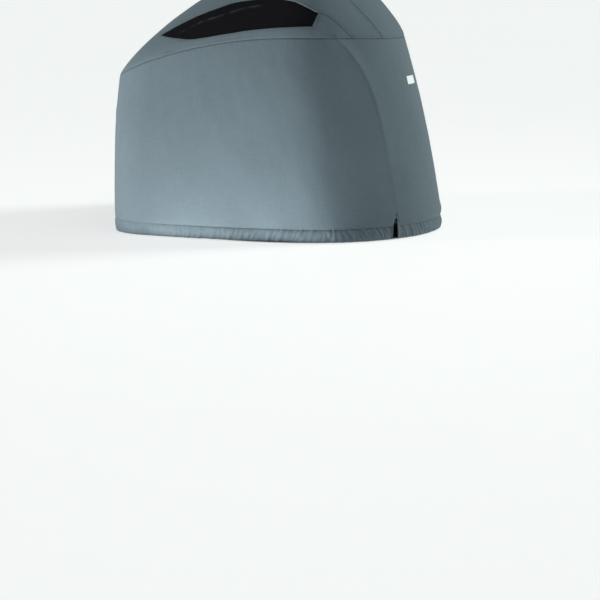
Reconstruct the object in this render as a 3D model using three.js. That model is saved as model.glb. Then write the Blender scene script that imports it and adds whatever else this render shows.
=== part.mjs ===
// Outboard motor cover, fitted and sewn from canvas: a wall band with a gathered hem, a rear panel,
// a crown of three panels, two mesh vents and a bare label. Every piece is a thin sheet in its worn shape.
// Millimetres, +Z up, +X aft, -Y port. The origin is under the crown's top, where the cover is carried.
import * as THREE from 'three';

// The plan, walked from the rear centre round the port side: each stretch is an arc with a length
// and a turn in degrees, at the hem and at the crown seam. A straight-fronted arc closes it.
const planRows = [
  { part: 'rear', hemLength: 418, hemTurn: 52, seamLength: 303, seamTurn: 50 },
  { part: 'corner', hemLength: 90, hemTurn: 22, seamLength: 80, seamTurn: 24 },
  { part: 'side', hemLength: 434, hemTurn: 18, seamLength: 282, seamTurn: 18 },
  { part: 'fore corner', hemLength: 150, hemTurn: 74, seamLength: 150, seamTurn: 74 },
];
const frontStation = planRows.length + 1; // stations count the stretches, so this is the front centre
const rounds = 2 * frontStation; // stations once round the cover

const wall = {
  rear: { hem: 407, seam: 301 }, // x of the rear centre
  front: { hem: -383, seam: -378 },
  half: { hem: 322, seam: 290 }, // half width
  bulge: 10, // outward bow at mid height
  frontBulge: 0.6, // share of it at the front
};
const seamLine = { height: 471, from: 121, foreFall: 4.73e-4, rearFall: 2.06e-4 }; // falls by the square
const crown = { top: 627, spineRear: 97, spineFront: 72, round: 2, girth: 248 }; // girth: seam to spine
// Exponent of the crown's profile by run along the seam: 2 is an ellipse, 1 a straight slope.
const crownFullness = [
  { run: 0, exponent: 1.34 },
  { run: 150, exponent: 1.41 },
  { run: 300, exponent: 1.9 },
  { run: 480, exponent: 1.6 },
  { run: 700, exponent: 1.48 },
  { run: 850, exponent: 1.25 },
  { run: 1020, exponent: 1.27 },
];
const rearSeam = { low: 0.545, swing: 0.272, power: 6 }; // station of the seam beside the rear panel
const ridge = { height: 6, power: 1.5, reach: 75 }; // crease along the rear seam, tallest at its top
const slit = { height: 58, width: 9 }; // open foot of the rear seam
const hem = {
  height: 30,
  tuck: 6, // how far the bottom edge is drawn in
  gather: 1.5, // stand of the gathers
  lean: 6, // their slant
  varies: 0.35, // how much their stands differ
  beat: 2.3,
  quiet: 0.35, // share of them left toward the front
  quietFrom: 2.4, // station where they start to flatten
  quietOver: 0.8,
};
const centre = { half: 104, narrowing: 19, from: 200, length: 85 }; // crown centre panel's half width
// The vent's opening: share of the crown's rise at its lower and upper edge, by run along the seam.
const ventEdges = [
  { run: 298, lower: 0.113, upper: 0.245 },
  { run: 361, lower: 0.105, upper: 0.372 },
  { run: 443, lower: 0.091, upper: 0.427 },
  { run: 524, lower: 0.077, upper: 0.42 },
  { run: 572, lower: 0.083, upper: 0.378 },
  { run: 619, lower: 0.125, upper: 0.325 },
  { run: 690, lower: 0.21, upper: 0.21 },
];
const ventLean = { slope: 110, span: 0.065, reach: 40 }; // slant of the vent's straight rear end
// The dart from the seam up to the vent's rear upper corner.
const dart = [
  { run: 201, rise: 0 },
  { run: 225, rise: 0.08 },
  { run: 239, rise: 0.128 },
  { run: 270, rise: 0.213 },
  { run: 298, rise: 0.245 },
];
const label = { width: 54, low: 354, high: 375, stand: 0.6 };
const sheet = { canvas: 2, mesh: 1, label: 0.8, gap: 0.3 };
const mount = { x: 85, under: crown.top - sheet.canvas }; // the origin: the underside of the crown's top

// Facets: rises of the wall above the hem, heights in the hem with their share of the gathers, crown rows.
const wallRises = [0.14, 0.28, 0.43, 0.57, 0.7, 0.81, 0.9, 0.96, 1];
const hemRows = [{ height: 0, gather: 0.8 }, { height: 15, gather: 1 }, { height: hem.height, gather: 0.4 }];
const upperRows = 5;
const slopeStep = { station: 0.01, rise: 0.0067 }; // for surface directions
const near = 0.01; // runs closer than this are one
const weld = 0.002; // vertices closer than this are one
const wallGap = sheet.gap / 2 / seamLine.height; // half a seam's gap, as a share of the wall
const crownGap = sheet.gap / 2 / crown.girth; // the same as a share of the crown's rise
const dartTrim = 8; // the band's pointed end stops short of the seam

const mix = (a, b, t) => a + (b - a) * t;
const clamp = THREE.MathUtils.clamp;

// Smooth curve through a short table, level beyond its ends and never past its own values.
function through(rows, at, from, to) {
  const x = clamp(at, rows[0][from], rows[rows.length - 1][from]);
  const slope = (i) => (rows[i + 1][to] - rows[i][to]) / (rows[i + 1][from] - rows[i][from]);
  const tangent = (i) => {
    if (i === 0) return slope(0);
    if (i === rows.length - 1) return slope(i - 1);
    const [before, after] = [slope(i - 1), slope(i)];
    return before * after <= 0 ? 0 : (2 * before * after) / (before + after);
  };
  let k = 0;
  while (k < rows.length - 2 && x >= rows[k + 1][from]) k += 1;
  const span = rows[k + 1][from] - rows[k][from];
  const u = (x - rows[k][from]) / span;
  return (2 * u ** 3 - 3 * u ** 2 + 1) * rows[k][to] + (u ** 3 - 2 * u ** 2 + u) * span * tangent(k)
    + (-2 * u ** 3 + 3 * u ** 2) * rows[k + 1][to] + (u ** 3 - u ** 2) * span * tangent(k + 1);
}

// The front arc, which closes the plan on its centre line.
function closing({ y, heading }) {
  const turn = heading + 1.5 * Math.PI;
  return { turn, length: (turn * -y) / Math.sin(turn) };
}

// Walks the arcs of the plan at a wall share t (0 hem, 1 seam) and returns place and heading.
function walk(t, station) {
  let [x, y, heading] = [0, 0, -Math.PI / 2];
  const arc = (length, turn, share) => {
    const radius = length / turn;
    x += radius * (Math.sin(heading) - Math.sin(heading - turn * share));
    y += radius * (Math.cos(heading - turn * share) - Math.cos(heading));
    heading -= turn * share;
  };
  planRows.forEach((row, i) => {
    const turn = THREE.MathUtils.degToRad(mix(row.hemTurn, row.seamTurn, t));
    arc(mix(row.hemLength, row.seamLength, t), turn, clamp(station - i, 0, 1));
  });
  if (station > planRows.length) {
    const { length, turn } = closing({ y, heading });
    arc(length, turn, station - planRows.length);
  }
  return { x, y, heading };
}

// Where the plan is widest: the station at which the arcs have turned a quarter.
function widest(t) {
  let left = 90;
  for (let i = 0; i < planRows.length; i += 1) {
    const turn = mix(planRows[i].hemTurn, planRows[i].seamTurn, t);
    if (turn >= left) return i + left / turn;
    left -= turn;
  }
  return planRows.length;
}

// The plan's rear and its scales at a wall share.
const levels = new Map();
function level(t) {
  if (!levels.has(t)) {
    const bow = wall.bulge * 4 * t * (1 - t);
    const rear = mix(wall.rear.hem, wall.rear.seam, t) + bow;
    const front = mix(wall.front.hem, wall.front.seam, t) - bow * wall.frontBulge;
    const half = mix(wall.half.hem, wall.half.seam, t) + bow;
    const alongX = (rear - front) / -walk(t, frontStation).x;
    levels.set(t, { rear, alongX, alongY: half / -walk(t, widest(t)).y });
  }
  return levels.get(t);
}

const rearSeamStation = (t) => rearSeam.low + rearSeam.swing * Math.max(t, 0) ** rearSeam.power;
const rearLength = (t) => mix(planRows[0].hemLength, planRows[0].seamLength, t);

// Plan point at wall share t; stations past the front centre come back along starboard.
function plan(t, station) {
  const turned = station > frontStation ? station - rounds : station;
  const side = turned < 0 ? -1 : 1;
  const own = Math.abs(turned);
  const { rear, alongX, alongY } = level(t);
  const at = walk(t, own);
  const off = (Math.abs(own - rearSeamStation(t)) * rearLength(t)) / ridge.reach;
  const crease = ridge.height * Math.max(t, 0) ** ridge.power * Math.max(0, 1 - off) ** 2;
  return {
    x: rear + at.x * alongX - Math.sin(at.heading) * crease,
    y: side * (at.y * alongY + Math.cos(at.heading) * crease),
  };
}

const seamHeight = (x) => seamLine.height - seamLine.foreFall * Math.max(0, seamLine.from - x) ** 2
  - seamLine.rearFall * Math.max(0, x - seamLine.from) ** 2;

// Runs along the crown seam from the rear centre to the end of each stretch.
const runEnds = planRows.reduce((ends, row) => [...ends, ends.at(-1) + row.seamLength], [0]);
const frontRun = runEnds.at(-1) + closing(walk(1, planRows.length)).length;
runEnds.push(frontRun);

// Run along the crown seam of a station, the same on both sides of the cover.
function runOf(station) {
  const own = station > frontStation ? rounds - station : Math.abs(station);
  const k = Math.min(Math.floor(own), planRows.length);
  return mix(runEnds[k], runEnds[k + 1], own - k);
}

// Station on the crown seam at a run in millimetres from the rear centre.
function stationAt(run) {
  let k = 0;
  while (k < runEnds.length - 2 && run > runEnds[k + 1]) k += 1;
  return k + (run - runEnds[k]) / (runEnds[k + 1] - runEnds[k]);
}

// A point of the cover: rise 0 at the hem, 1 at the crown seam, 2 on the spine of the crown.
function coverPoint(station, rise) {
  const base = plan(1, station);
  const seamZ = seamHeight(base.x);
  if (rise <= 1) {
    const at = plan(rise, station);
    const z = seamZ * rise;
    const tuck = hem.tuck * Math.max(0, 1 - z / hem.height) ** 2;
    const centreX = (wall.rear.hem + wall.front.hem) / 2;
    const inward = tuck / Math.hypot(at.x - centreX, at.y);
    return new THREE.Vector3(mix(at.x, centreX, inward), at.y * (1 - inward), z);
  }
  const angle = Math.min(rise - 1, 1) * (Math.PI / 2);
  const [along, up] = [Math.max(Math.cos(angle), 0), Math.sin(angle)];
  const fullness = through(crownFullness, runOf(station), 'run', 'exponent');
  const exponent = mix(fullness, crown.round, (rise - 1) ** 2);
  const size = (along ** exponent + up ** exponent) ** (-1 / exponent);
  const spine = clamp(base.x, crown.spineFront, crown.spineRear);
  return new THREE.Vector3(
    mix(spine, base.x, along * size), base.y * along * size, mix(seamZ, crown.top, up * size));
}

// Outward direction, taken across a seam as the mean of both sides so that neighbours mitre.
function outward(station, rise) {
  if (rise > 2 - 1e-6) return new THREE.Vector3(0, 0, 1);
  const { station: aside, rise: above } = slopeStep;
  const along = coverPoint(station + aside, rise).sub(coverPoint(station - aside, rise));
  const up = coverPoint(station, rise + above).sub(coverPoint(station, rise - above));
  return up.cross(along).normalize();
}

function solve(low, high, test) {
  let [a, b] = [low, high];
  for (let i = 0; i < 50; i += 1) {
    const middle = (a + b) / 2;
    if (test(middle)) a = middle;
    else b = middle;
  }
  return (a + b) / 2;
}

const centreHalf = (x) => (
  centre.half - centre.narrowing * (Math.max(0, x - centre.from) / centre.length) ** 2);
const outsideCentre = (point, shift) => Math.abs(point.y) > centreHalf(point.x) + shift;
const rearFoot = solve(0, runEnds[1], (run) => !outsideCentre(coverPoint(stationAt(run), 1), 0));
const frontFoot = solve(runEnds[4], frontRun, (run) => outsideCentre(coverPoint(stationAt(run), 1), 0));
const centreRise = (run, shift) => solve(0, 1, (rise) => outsideCentre(crownPlace(run, rise, 1), shift));

// Crown places by run and rise, with the slant of the vent's rear end worked in.
const ventRear = ventEdges[0];
const ventTip = ventEdges[ventEdges.length - 1];
const ventMiddle = (ventRear.lower + ventRear.upper) / 2;
function leaned(run, rise) {
  const nearness = Math.max(0, 1 - Math.abs(run - ventRear.run) / ventLean.reach);
  return run - ventLean.slope * clamp(rise - ventMiddle, -ventLean.span, ventLean.span) * nearness;
}
const crownStation = (run, rise, side) => side * stationAt(leaned(run, rise));
const crownPlace = (run, rise, side) => coverPoint(crownStation(run, rise, side), 1 + rise);

// A sheet: outer and inner vertices in pairs, faces on the outer side, closed round its free edges.
class Sheet {
  constructor(thickness, depth = 0) {
    Object.assign(this, { thickness, depth, outer: [], inner: [], faces: [], known: new Map() });
  }

  vertex(station, rise, push = 0) {
    const normal = outward(station, rise);
    const outer = coverPoint(station, rise).addScaledVector(normal, push - this.depth);
    const key = outer.toArray().map((v) => Math.round(v / weld)).join();
    if (!this.known.has(key)) {
      this.known.set(key, this.outer.length);
      this.outer.push(outer);
      this.inner.push(outer.clone().addScaledVector(normal, -this.thickness));
    }
    return this.known.get(key);
  }

  face(a, b, c) {
    if (a !== b && b !== c && c !== a) this.faces.push([a, b, c]);
  }

  // Joins two columns of vertices that rise side by side.
  strip(near, far) {
    for (let j = 0; j + 1 < near.length; j += 1) {
      this.face(near[j], near[j + 1], far[j]);
      this.face(far[j], near[j + 1], far[j + 1]);
    }
  }

  grid(columns) {
    columns.slice(1).forEach((column, i) => this.strip(columns[i], column));
  }

  // Joins a short row above to a row below that has more vertices.
  fan(upper, lower) {
    const half = Math.floor(lower.length / 2);
    lower.slice(1).forEach((vertex, i) => this.face(i < half ? upper[0] : upper[1], vertex, lower[i]));
    this.face(upper[0], upper[1], lower[half]);
  }

  geometry() {
    const count = this.outer.length;
    const open = new Map();
    this.faces.forEach((face) => face.forEach((a, i) => {
      const b = face[(i + 1) % 3];
      if (!open.delete(`${b},${a}`)) open.set(`${a},${b}`, [a, b]);
    }));
    const triangles = [...this.faces];
    this.faces.forEach(([a, b, c]) => triangles.push([a + count, c + count, b + count]));
    open.forEach(([a, b]) => triangles.push([b, a, a + count], [b, a + count, b + count]));
    const geometry = new THREE.BufferGeometry();
    geometry.setFromPoints([...this.outer, ...this.inner]);
    geometry.setIndex(triangles.flat());
    geometry.computeVertexNormals();
    return geometry.translate(-mount.x, 0, -mount.under);
  }
}

// Facets: columns between marks along the crown seam, with the gathers in each column of the hem.
const rearSeamRun = rearSeamStation(1) * planRows[0].seamLength;
const marks = [
  { to: rearFoot, columns: 4, gathers: 1 },
  { to: dart[0].run, columns: 4, gathers: 1 },
  { to: rearSeamRun, columns: 2, gathers: 1 },
  { to: ventRear.run, columns: 2, gathers: 5 },
  { to: runEnds[2], columns: 3, gathers: 2 },
  { to: ventTip.run, columns: 10, gathers: 3 },
  { to: runEnds[4], columns: 5, gathers: 2 },
  { to: frontFoot, columns: 3, gathers: 2 },
  { to: frontRun, columns: 4, gathers: 1 },
];
const columns = marks.flatMap((mark, i) => {
  const start = i ? marks[i - 1].to : 0;
  return Array.from({ length: mark.columns }, (_, k) => (
    { run: mix(start, mark.to, (k + 1) / mark.columns), gathers: mark.gathers }));
});
const between = (low, high) => columns.filter(({ run }) => run > low - near && run < high + near);

// Stations of the wall's columns below the seam, which follow the rear seam as it swings.
function glide(station, t) {
  if (station > frontStation) return rounds - glide(rounds - station, t);
  if (station < 0) return -glide(-station, t);
  const [top, here] = [rearSeamStation(1), rearSeamStation(t)];
  if (station <= top) return (station / top) * here;
  return station < 1 ? mix(here, 1, (station - top) / (1 - top)) : station;
}

// How far a gather of the hem stands out: uneven, and flatter toward the front.
function gatherAt(station, index) {
  const fore = clamp((Math.min(station, rounds - station) - hem.quietFrom) / hem.quietOver, 0, 1);
  const uneven = 1 - hem.varies * (1 - Math.sin(hem.beat * index));
  return hem.gather * mix(1, hem.quiet, fore) * uneven * (index % 2 ? -1 : 1);
}

// A hemmed panel between two rear seams, from its columns round the cover.
function wallPanel(list) {
  const target = new Sheet(sheet.canvas);
  const edgeOf = (i) => Number(i === 0) - Number(i === list.length - 1);
  const shareAt = (station, height) => height / seamHeight(plan(1, station).x);
  const vertex = (station, t, edge, push) => {
    const z = t * seamHeight(plan(1, station).x);
    const open = sheet.gap / 2 + (slit.width / 2) * Math.sqrt(clamp(1 - z / slit.height, 0, 1));
    const lean = hem.lean * Math.max(0, 1 - z / hem.height);
    const shift = (edge ? edge * open : lean) / rearLength(t);
    return target.vertex(glide(station, t) + shift, Math.min(t, 1 - wallGap), push);
  };
  const upper = list.map(({ station }, i) => wallRises.map((rise) => (
    vertex(station, mix(shareAt(station, hem.height), 1, rise), edgeOf(i)))));
  target.grid(upper);
  let index = 0;
  list.slice(1).forEach(({ station, gathers }, i) => {
    const count = 2 * gathers;
    const below = Array.from({ length: count + 1 }, (_, k) => {
      const own = mix(list[i].station, station, k / count);
      const edge = (k === 0 && edgeOf(i)) || (k === count && edgeOf(i + 1)) || 0;
      const stand = edge ? 0 : gatherAt(own, index + k);
      return hemRows.map((row) => vertex(own, shareAt(own, row.height), edge, stand * row.gather));
    });
    index += count;
    target.grid(below);
    target.fan([upper[i][0], upper[i + 1][0]], below.map((column) => column[hemRows.length - 1]));
  });
  return target.geometry();
}

const port = columns.map(({ run, gathers }) => ({ station: stationAt(run), gathers }));
const mirrored = (list, turn) => list.map(({ station }, i) => (
  { station: turn - station, gathers: list[Math.min(i + 1, list.length - 1)].gathers })).reverse();
const rearList = port.filter(({ station }) => station < rearSeamStation(1) + near / rearLength(1));
const rearColumns = [...mirrored(rearList, 0), { station: 0, gathers: 1 }, ...rearList];
const wallList = port.filter(({ station }) => station > rearSeamStation(1) - near / rearLength(1));
const wallColumns = [...wallList, ...mirrored(wallList.slice(0, -1), rounds)];

// Rises of the crown's seams in one column: the dart or the vent splits it below the centre panel.
function crownColumn(run) {
  const top = Math.max(centreRise(run, sheet.gap / 2), crownGap);
  if (run < dart[0].run + near) return { lower: crownGap, upper: crownGap, top };
  if (run < ventRear.run - near) {
    const rise = through(dart, run, 'run', 'rise');
    return { lower: rise - crownGap, upper: rise + crownGap, top };
  }
  if (run > ventTip.run + near) {
    const split = Math.min(ventTip.upper, mix(crownGap, top, 0.5));
    return { lower: split, upper: split, top };
  }
  const edge = (name) => through(ventEdges, run, 'run', name);
  return { lower: edge('lower'), upper: edge('upper'), top };
}

// Rows of the crown's bands; the band below the dart meets the vent's lower edge at its own share.
const upperShares = Array.from({ length: upperRows + 1 }, (_, j) => j / upperRows);
const ventShares = [0, 1 / 3, 2 / 3, 1];
const lowerShares = [0, 0.5, 1];
const ventFoot = (ventRear.lower - crownGap) / (ventRear.upper - 2 * crownGap);
const dartShares = [0, ventFoot / 2, ...ventShares.map((share) => mix(ventFoot, 1, share))];

// A crown panel beside the centre one: a band above the vent, and one below it that the dart ends.
function shoulderPanel(side) {
  const target = new Sheet(sheet.canvas);
  const column = (run, from, to, shares) => shares.map((share) => {
    const rise = mix(from, to, share);
    return target.vertex(crownStation(run, rise, side), 1 + rise);
  });
  const upper = between(rearFoot, frontFoot).map(({ run }) => {
    const at = crownColumn(run);
    return column(run, at.upper, at.top, upperShares);
  });
  const point = dart[0].run + dartTrim;
  const rear = [point, ...between(point, ventRear.run).map(({ run }) => run)].map((run) => (
    column(run, crownGap, through(dart, run, 'run', 'rise') - crownGap, dartShares)));
  const fore = between(ventRear.run, frontFoot).map(({ run }) => (
    column(run, crownGap, crownColumn(run).lower, lowerShares)));
  [upper, rear, fore].forEach((list) => target.grid(side > 0 ? list : [...list].reverse()));
  return target.geometry();
}

// The mesh behind a vent opening, lapped under the canvas all round.
function ventSheet(side) {
  const target = new Sheet(sheet.mesh, sheet.canvas + sheet.gap);
  const list = between(ventRear.run, ventTip.run).map(({ run }) => run);
  const behind = columns[columns.findIndex(({ run }) => run > ventRear.run - near) - 1].run;
  const ahead = columns.find(({ run }) => run > ventTip.run + near).run;
  const grid = [behind, ...list, ahead].map((run) => {
    const at = crownColumn(run);
    const dartRise = through(dart, run, 'run', 'rise');
    const lap = mix(crownGap, at.lower, lowerShares[1]);
    const inner = run === behind
      ? dartShares.slice(1).map((share) => mix(crownGap, dartRise, share))
      : [lap, ...ventShares.map((share) => mix(at.lower, at.upper, share))];
    return [...inner, mix(at.upper, at.top, upperShares[1])]
      .map((place) => target.vertex(crownStation(run, place, side), 1 + place));
  });
  target.grid(side > 0 ? grid : grid.reverse());
  return target.geometry();
}

// Station and rise of the crown over a place in plan.
function crownOver(x, y) {
  const { spineRear, spineFront } = crown;
  const bearing = (px, py) => {
    if (px > spineRear) return Math.atan2(Math.abs(py), px - spineRear);
    const past = Math.PI / 2 + (spineRear - Math.max(px, spineFront));
    return px > spineFront ? past : past + Math.PI / 2 - Math.atan2(Math.abs(py), spineFront - px);
  };
  const spine = clamp(x, spineFront, spineRear);
  const wanted = bearing(x, y);
  const run = solve(0, frontRun, (at) => {
    const base = plan(1, stationAt(at));
    return bearing(base.x, base.y) < wanted;
  });
  const station = (y > 0 ? -1 : 1) * stationAt(run);
  const rise = solve(0, 1, (at) => {
    const point = coverPoint(station, 1 + at);
    return Math.hypot(point.x - spine, point.y) > Math.hypot(x - spine, y);
  });
  return [station, 1 + rise];
}

// The crown's centre panel: strips across it, from the rear seam over the top to the front seam.
function centrePanel() {
  const target = new Sheet(sheet.canvas);
  const ends = (low, high) => between(low, high).map(({ run }) => run);
  const across = (list, middle) => [
    ...list.map((run) => [run, 1]).reverse(), [middle, 1], ...list.map((run) => [run, -1])];
  const rear = across(ends(near * 2, rearFoot), 0);
  const front = across(ends(frontFoot, frontRun - near * 2).reverse(), frontRun);
  const side = ends(rearFoot, frontFoot).map((run) => crownPlace(run, crownColumn(run).top, 1).x);
  const place = ([run, hand]) => plan(1, hand * stationAt(run));
  const share = (point) => clamp(point.y / (centreHalf(point.x) - sheet.gap / 2), -1, 1);
  const seamRow = (list) => list.map(([run, hand]) => target.vertex(hand * stationAt(run), 1 + crownGap));
  const rows = side.map((x, i) => {
    if (i === 0) return seamRow(rear);
    if (i === side.length - 1) return seamRow(front);
    const along = (x - side[0]) / (side[side.length - 1] - side[0]);
    return rear.map((_, k) => {
      const [start, end] = [place(rear[k]), place(front[k])];
      const ownX = mix(start.x, end.x, along);
      const ownY = mix(share(start), share(end), along) * (centreHalf(ownX) - sheet.gap / 2);
      return target.vertex(...crownOver(ownX, ownY));
    });
  });
  target.grid(rows);
  return target.geometry();
}

function labelSheet() {
  const target = new Sheet(sheet.label, -label.stand - sheet.label);
  const seamZ = seamHeight(plan(1, 0).x);
  const t = label.low / seamZ;
  const half = label.width / 2 / (rearLength(t) * level(t).alongY);
  target.grid([-1, -0.5, 0, 0.5, 1].map((share) => (
    [label.low, label.high].map((height) => target.vertex(share * half, height / seamZ)))));
  return target.geometry();
}

const canvasGrey = { color: 0x74868d, roughness: 0.85, metalness: 0 };
const ventBlack = { color: 0x161618, roughness: 0.8, metalness: 0 };
const labelWhite = { color: 0xe8e9ea, roughness: 0.7, metalness: 0 };

const cover = new THREE.Group();
function add(name, geometry, look) {
  const mesh = new THREE.Mesh(geometry, new THREE.MeshStandardMaterial(look));
  mesh.name = name;
  cover.add(mesh);
}
add('wall_panel', wallPanel(wallColumns), canvasGrey);
add('rear_panel', wallPanel(rearColumns), canvasGrey);
add('crown_centre', centrePanel(), canvasGrey);
add('shoulder_port', shoulderPanel(1), canvasGrey);
add('shoulder_starboard', shoulderPanel(-1), canvasGrey);
add('vent_port', ventSheet(1), ventBlack);
add('vent_starboard', ventSheet(-1), ventBlack);
add('label', labelSheet(), labelWhite);

export default cover;
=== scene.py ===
# Outboard motor cover of fitted canvas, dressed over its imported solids. Shapes are worked out in
# millimetres with the hem at height 0, then carried into the part's frame in metres.
import math

import bpy
import numpy as np
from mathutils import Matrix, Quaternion, Vector, kdtree


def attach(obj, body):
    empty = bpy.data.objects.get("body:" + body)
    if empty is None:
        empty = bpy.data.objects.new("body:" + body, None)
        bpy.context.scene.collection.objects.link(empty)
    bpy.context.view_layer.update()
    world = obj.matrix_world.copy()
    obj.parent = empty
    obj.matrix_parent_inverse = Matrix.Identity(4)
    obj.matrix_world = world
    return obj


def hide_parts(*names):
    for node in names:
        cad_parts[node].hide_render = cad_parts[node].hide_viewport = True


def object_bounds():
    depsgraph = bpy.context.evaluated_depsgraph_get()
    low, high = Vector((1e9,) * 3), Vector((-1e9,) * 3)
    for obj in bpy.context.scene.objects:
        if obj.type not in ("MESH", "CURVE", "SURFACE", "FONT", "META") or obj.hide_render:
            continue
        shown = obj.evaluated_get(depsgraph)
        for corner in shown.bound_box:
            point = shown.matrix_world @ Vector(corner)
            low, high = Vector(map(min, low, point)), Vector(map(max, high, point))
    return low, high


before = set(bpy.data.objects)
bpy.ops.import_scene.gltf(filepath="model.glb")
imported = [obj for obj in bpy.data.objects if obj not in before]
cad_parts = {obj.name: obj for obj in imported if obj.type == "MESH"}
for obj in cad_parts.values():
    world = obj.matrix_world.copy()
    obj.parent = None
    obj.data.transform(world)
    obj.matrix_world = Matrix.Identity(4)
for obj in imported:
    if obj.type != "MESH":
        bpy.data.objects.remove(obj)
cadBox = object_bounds()
print("frame loaded:", ", ".join(sorted(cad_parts)))

# The worn form: the plan is walked from the rear centre round the port side to the front centre.
form = {
    "plan": [  # length and turn in degrees at the hem, then at the crown seam
        (418, 52, 303, 50),  # rear
        (90, 22, 80, 24),  # corner
        (434, 18, 282, 18),  # side
        (150, 74, 150, 74),  # fore corner
    ],
    "front": 5,  # station of the front centre, one per stretch
    "widest": 2 + 16 / 18,  # station where the plan has turned a quarter
    "rearX": (407, 301),  # at the hem and at the crown seam, as the next two
    "frontX": (-383, -378),
    "half": (322, 290),
    "bulge": 10,  # the wall bows out at mid height, less at the front
    "frontBulge": 0.6,
    "seam": {"height": 471, "from": 121, "foreFall": 4.73e-4, "rearFall": 2.06e-4},  # lower both ways
    "top": 627,
    "spine": (72, 97),  # the level line along the top of the crown
    "round": 2,  # fullness of the crown at its spine, where it is an ellipse
    "fullRuns": (0, 150, 300, 480, 700, 850, 1020),  # lower down it goes by run along the crown seam
    "fullness": (1.34, 1.41, 1.9, 1.6, 1.48, 1.25, 1.27),
    "crownGirth": 248,  # cloth from the crown seam to the spine
    "rearSeam": {"low": 0.545, "swing": 0.272, "power": 6},
    "ridge": {"height": 6, "power": 1.5, "reach": 44, "fade": 0.12},  # it dies out above the crown seam
    "hem": 30,
    "tuck": {"rear": 4, "fore": 0.8, "from": 2.2, "to": 3.2},  # the hem is drawn in, less toward the front
    "centre": {"half": 104, "narrowing": 19, "from": 200, "length": 85},  # the crown's centre panel
    "origin": (85, 0, 625),  # of the part's frame
    "gap": 0.3,  # between neighbouring panels
}


def mix(a, b, t):
    return a + (b - a) * t


def through(xs, ys, x):  # smooth curve through a short table, level beyond its ends
    xs, ys = np.asarray(xs, float), np.asarray(ys, float)
    x = np.clip(x, xs[0], xs[-1])
    slope = np.diff(ys) / np.diff(xs)
    before, after = slope[:-1], slope[1:]
    same = before * after > 0
    inner = np.where(same, 2 * before * after / np.where(same, before + after, 1), 0)
    tangent = np.concatenate([slope[:1], inner, slope[-1:]])
    k = np.clip(np.searchsorted(xs, x, side="right") - 1, 0, len(xs) - 2)
    span = xs[k + 1] - xs[k]
    u = (x - xs[k]) / span
    return ((2 * u**3 - 3 * u**2 + 1) * ys[k] + (u**3 - 2 * u**2 + u) * span * tangent[k]
            + (3 * u**2 - 2 * u**3) * ys[k + 1] + (u**3 - u**2) * span * tangent[k + 1])


def bend(x, y, heading, length, turn, share):  # one arc of the plan
    radius = length / turn
    ahead = heading - turn * share
    return (x + radius * (np.sin(heading) - np.sin(ahead)),
            y + radius * (np.cos(ahead) - np.cos(heading)), ahead)


def closingArc(y, heading):  # the front arc brings the plan back to the centre line
    turn = heading + 1.5 * math.pi
    return turn * -y / np.sin(turn), turn


def walkPlan(t, station):
    t, station = np.broadcast_arrays(np.asarray(t, float), np.asarray(station, float))
    here = end = (np.zeros(t.shape), np.zeros(t.shape), np.full(t.shape, -math.pi / 2))
    for i, (hemLength, hemTurn, seamLength, seamTurn) in enumerate(form["plan"]):
        length, turn = mix(hemLength, seamLength, t), np.radians(mix(hemTurn, seamTurn, t))
        here = bend(*here, length, turn, np.clip(station - i, 0, 1))
        end = bend(*end, length, turn, 1)
    return bend(*here, *closingArc(end[1], end[2]), np.clip(station - len(form["plan"]), 0, 1))


def ends(column):  # runs from the rear centre to the end of each stretch, at the hem or the crown seam
    last = walkPlan(1 if column else 0, len(form["plan"]))
    lengths = [row[column] for row in form["plan"]] + [float(closingArc(last[1], last[2])[0])]
    return np.concatenate([[0], np.cumsum(lengths)])


seamEnds, hemEnds = ends(2), ends(0)
stations = np.arange(form["front"] + 1)
frontRun = seamEnds[-1]


def turnedStation(station):  # past the front centre it counts down the starboard side, below 0
    return np.where(station > form["front"], station - 2 * form["front"], station)


def runOf(station):
    return np.interp(np.abs(turnedStation(station)), stations, seamEnds)


def stationAt(run):
    return np.interp(run, seamEnds, stations)


def rearSeamStation(t):
    seam = form["rearSeam"]
    return seam["low"] + seam["swing"] * np.maximum(t, 0) ** seam["power"]


def rearLength(t):
    return mix(form["plan"][0][0], form["plan"][0][2], t)


def planPoint(t, station, ridged=1.0):
    t, station = np.broadcast_arrays(np.asarray(t, float), np.asarray(station, float))
    turned = turnedStation(station)
    own = np.abs(turned)
    bow = form["bulge"] * 4 * t * (1 - t)
    rear = mix(*form["rearX"], t) + bow
    front = mix(*form["frontX"], t) - bow * form["frontBulge"]
    half = mix(*form["half"], t) + bow
    x, y, heading = walkPlan(t, own)
    alongX = (rear - front) / -walkPlan(t, form["front"])[0]
    alongY = half / -walkPlan(t, form["widest"])[1]
    ridge = form["ridge"]
    off = np.abs(own - rearSeamStation(t)) * rearLength(t) / ridge["reach"]
    crease = ridged * ridge["height"] * np.maximum(t, 0) ** ridge["power"] * np.maximum(0, 1 - off) ** 2
    return (rear + x * alongX - np.sin(heading) * crease,
            np.where(turned < 0, -1, 1) * (y * alongY + np.cos(heading) * crease))


def seamHeight(x):
    seam = form["seam"]
    return (seam["height"] - seam["foreFall"] * np.maximum(0, seam["from"] - x) ** 2
            - seam["rearFall"] * np.maximum(0, x - seam["from"]) ** 2)


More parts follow.
